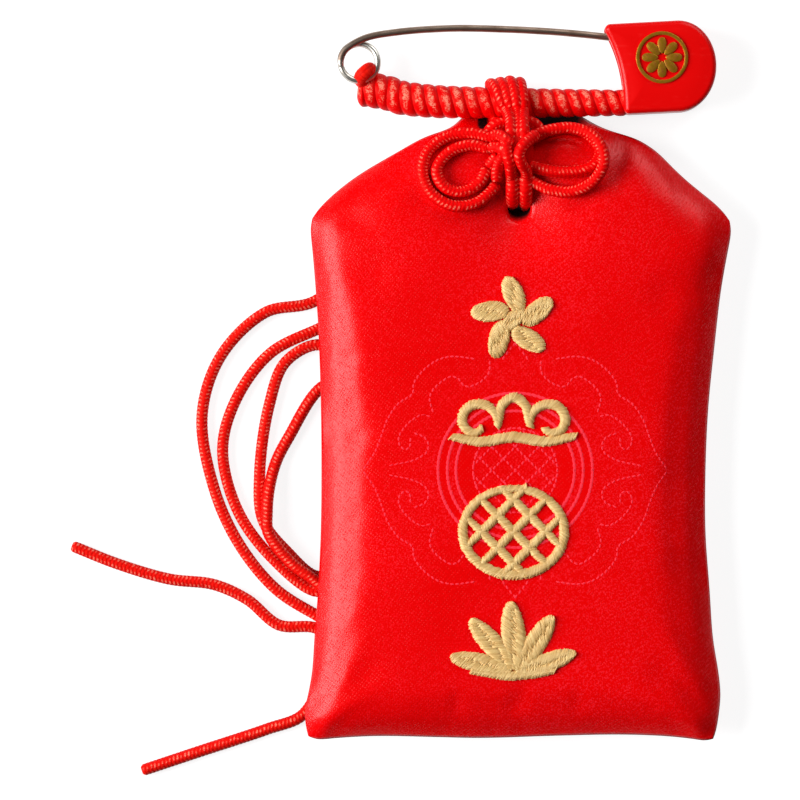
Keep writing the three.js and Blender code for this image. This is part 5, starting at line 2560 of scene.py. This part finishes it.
    def _stamp(self) -> None:
        """Stamps a gilt ring and a plain rosette on the face."""
        low, high = (corner.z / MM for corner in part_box("cap_emblem"))
        turn = 2 * math.pi / self.petals
        shapes = [self._ring(), *(self._leaf(k * turn) for k in range(self.petals))]
        places, faces = [], []
        for rims in shapes:
            start, count = sum(len(part) for part in places), len(rims[0])
            places += [np.column_stack([rim, np.full(count, z)]) for rim in rims for z in (low, high)]
            faces += self._walls(start, count, len(rims) > 1)
        piece = new_piece("gilt_round", mend(new_mesh("gilt_round", np.vstack(places), faces), DOUBLE_GAP))
        bevel = piece.modifiers.new("edge", "BEVEL")
        bevel.width = self.foil_edge * MM
        bevel.segments = 2
        bevel.limit_method = "ANGLE"
        finish_shape(piece)
        shade_smooth(piece.data, self.foil_crease)
        dress(piece.data, Foil().material())
        place_piece(piece, Body.PIN, Slot.FOIL, "cap_emblem")

    @staticmethod
    def _walls(start: int, count: int, holed: bool) -> Faces:
        """Makes the faces of a flat shape between two levels.

        Args:
            start: Number of the first point. The lower rim comes first, then the upper, then those of a hole.
            count: Points in each rim.
            holed: Whether the shape has a hole.

        Returns:
            Numbers of each face's points.
        """
        low, high, hole_low, hole_high = (start + k * count for k in range(4))
        faces = band(low, high, count)
        if not holed:
            return faces + [tuple(range(low, low + count))[::-1], tuple(range(high, high + count))]
        for first, second in ((low, hole_low), (high, hole_high), (hole_low, hole_high)):
            faces += band(first, second, count)
        return faces

    def _ring(self) -> list[np.ndarray]:
        """Outer and inner rim of the flat ring round the emblem's middle.

        Returns:
            The places of the outer and the inner rim.
        """
        turn = np.linspace(0, 2 * math.pi, 96, endpoint=False)
        circle = np.column_stack([np.cos(turn), np.sin(turn)])
        radii = (self.emblem_radius, self.emblem_radius - self.ring_width)
        return [circle * radius + np.array(self.emblem) for radius in radii]

    def _leaf(self, turn: float) -> list[np.ndarray]:
        """Draws one leaf of the rosette.

        Args:
            turn: Its direction in radians.

        Returns:
            Its rim.
        """
        along = np.linspace(0, 2 * math.pi, 28, endpoint=False)
        reach = self.emblem_radius - self.ring_width - self.leaf_gap
        out = self.leaf_start + (reach - self.leaf_start) * (1 - np.cos(along)) / 2
        aside = self.leaf_wide * np.sin(along) * (1 - self.leaf_lean * np.cos(along))
        spin = np.array([[math.cos(turn), math.sin(turn)], [-math.sin(turn), math.cos(turn)]])
        return [np.column_stack([out, aside]) @ spin + np.array(self.emblem)]


# Filling


@dataclass(frozen=True)
class Filling:
    """Wadding, card and paper slip inside the pouch."""

    pouch: Pouch
    fluff: float = 0.12
    cloth_gap: float = 0.2
    double_gap: float = 1e-6

    def build(self) -> None:
        """Dresses what the pouch holds."""
        for name, node in (("front_padding", "front_wadding"), ("back_padding", "back_wadding")):
            self._fluffed(name, node)
        for node, finish in (("stiffener_card", CARD), ("amulet_slip", PAPER)):
            dress(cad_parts[node].data, finish.material())

    def _fluffed(self, name: str, node: str) -> None:
        """Makes a soft copy of a wadding node, a little smaller, that stays inside the cloth.

        Args:
            name: The piece's name.
            node: The wadding node.
        """
        mesh = mend(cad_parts[node].data.copy(), self.double_gap)
        dress(mesh, WADDING.material())
        piece = new_piece(name, mesh)
        subdivide(piece, 1)
        chance = np.random.default_rng(SEED)
        normals = np.array([vertex.normal for vertex in piece.data.vertices])
        places = places_of(piece.data, 1.0)
        places -= normals * chance.uniform(0, self.fluff, len(places))[:, None] * MM
        for place in places:
            low, high = (level * MM for level in self.pouch.inside(*place[:2] / MM))
            place[2] = np.clip(place[2], low + self.cloth_gap * MM, high - self.cloth_gap * MM)
        piece.data.vertices.foreach_set("co", places.ravel())
        shade_smooth(piece.data)
        place_piece(piece, Body.POUCH, Slot.WADDING, node)


def corners() -> list[list[float]]:
    """The whole object's box as plain numbers."""
    return [[float(value) for value in corner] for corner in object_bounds()]


def main() -> None:
    """Builds the studio and every piece of the pouch."""
    logging.basicConfig(level=logging.INFO, format="%(name)s: %(message)s")
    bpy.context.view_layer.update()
    Studio().build()
    cordage, loose = (Cordage(CordGauge(), braid) for braid in (TIED_CORD, LOOSE_CORD))
    for tail in TAILS:
        tail.build(loose)
    pouch = Pouch()
    pouch.build()
    Filling(pouch).build()
    Figure().build(pouch)
    Embroidery(pouch, MOTIFS).build()
    Bow(pouch, cordage).build()
    Pin(cordage).build()
    Cap().build()


if __name__ == "__main__":
    main()
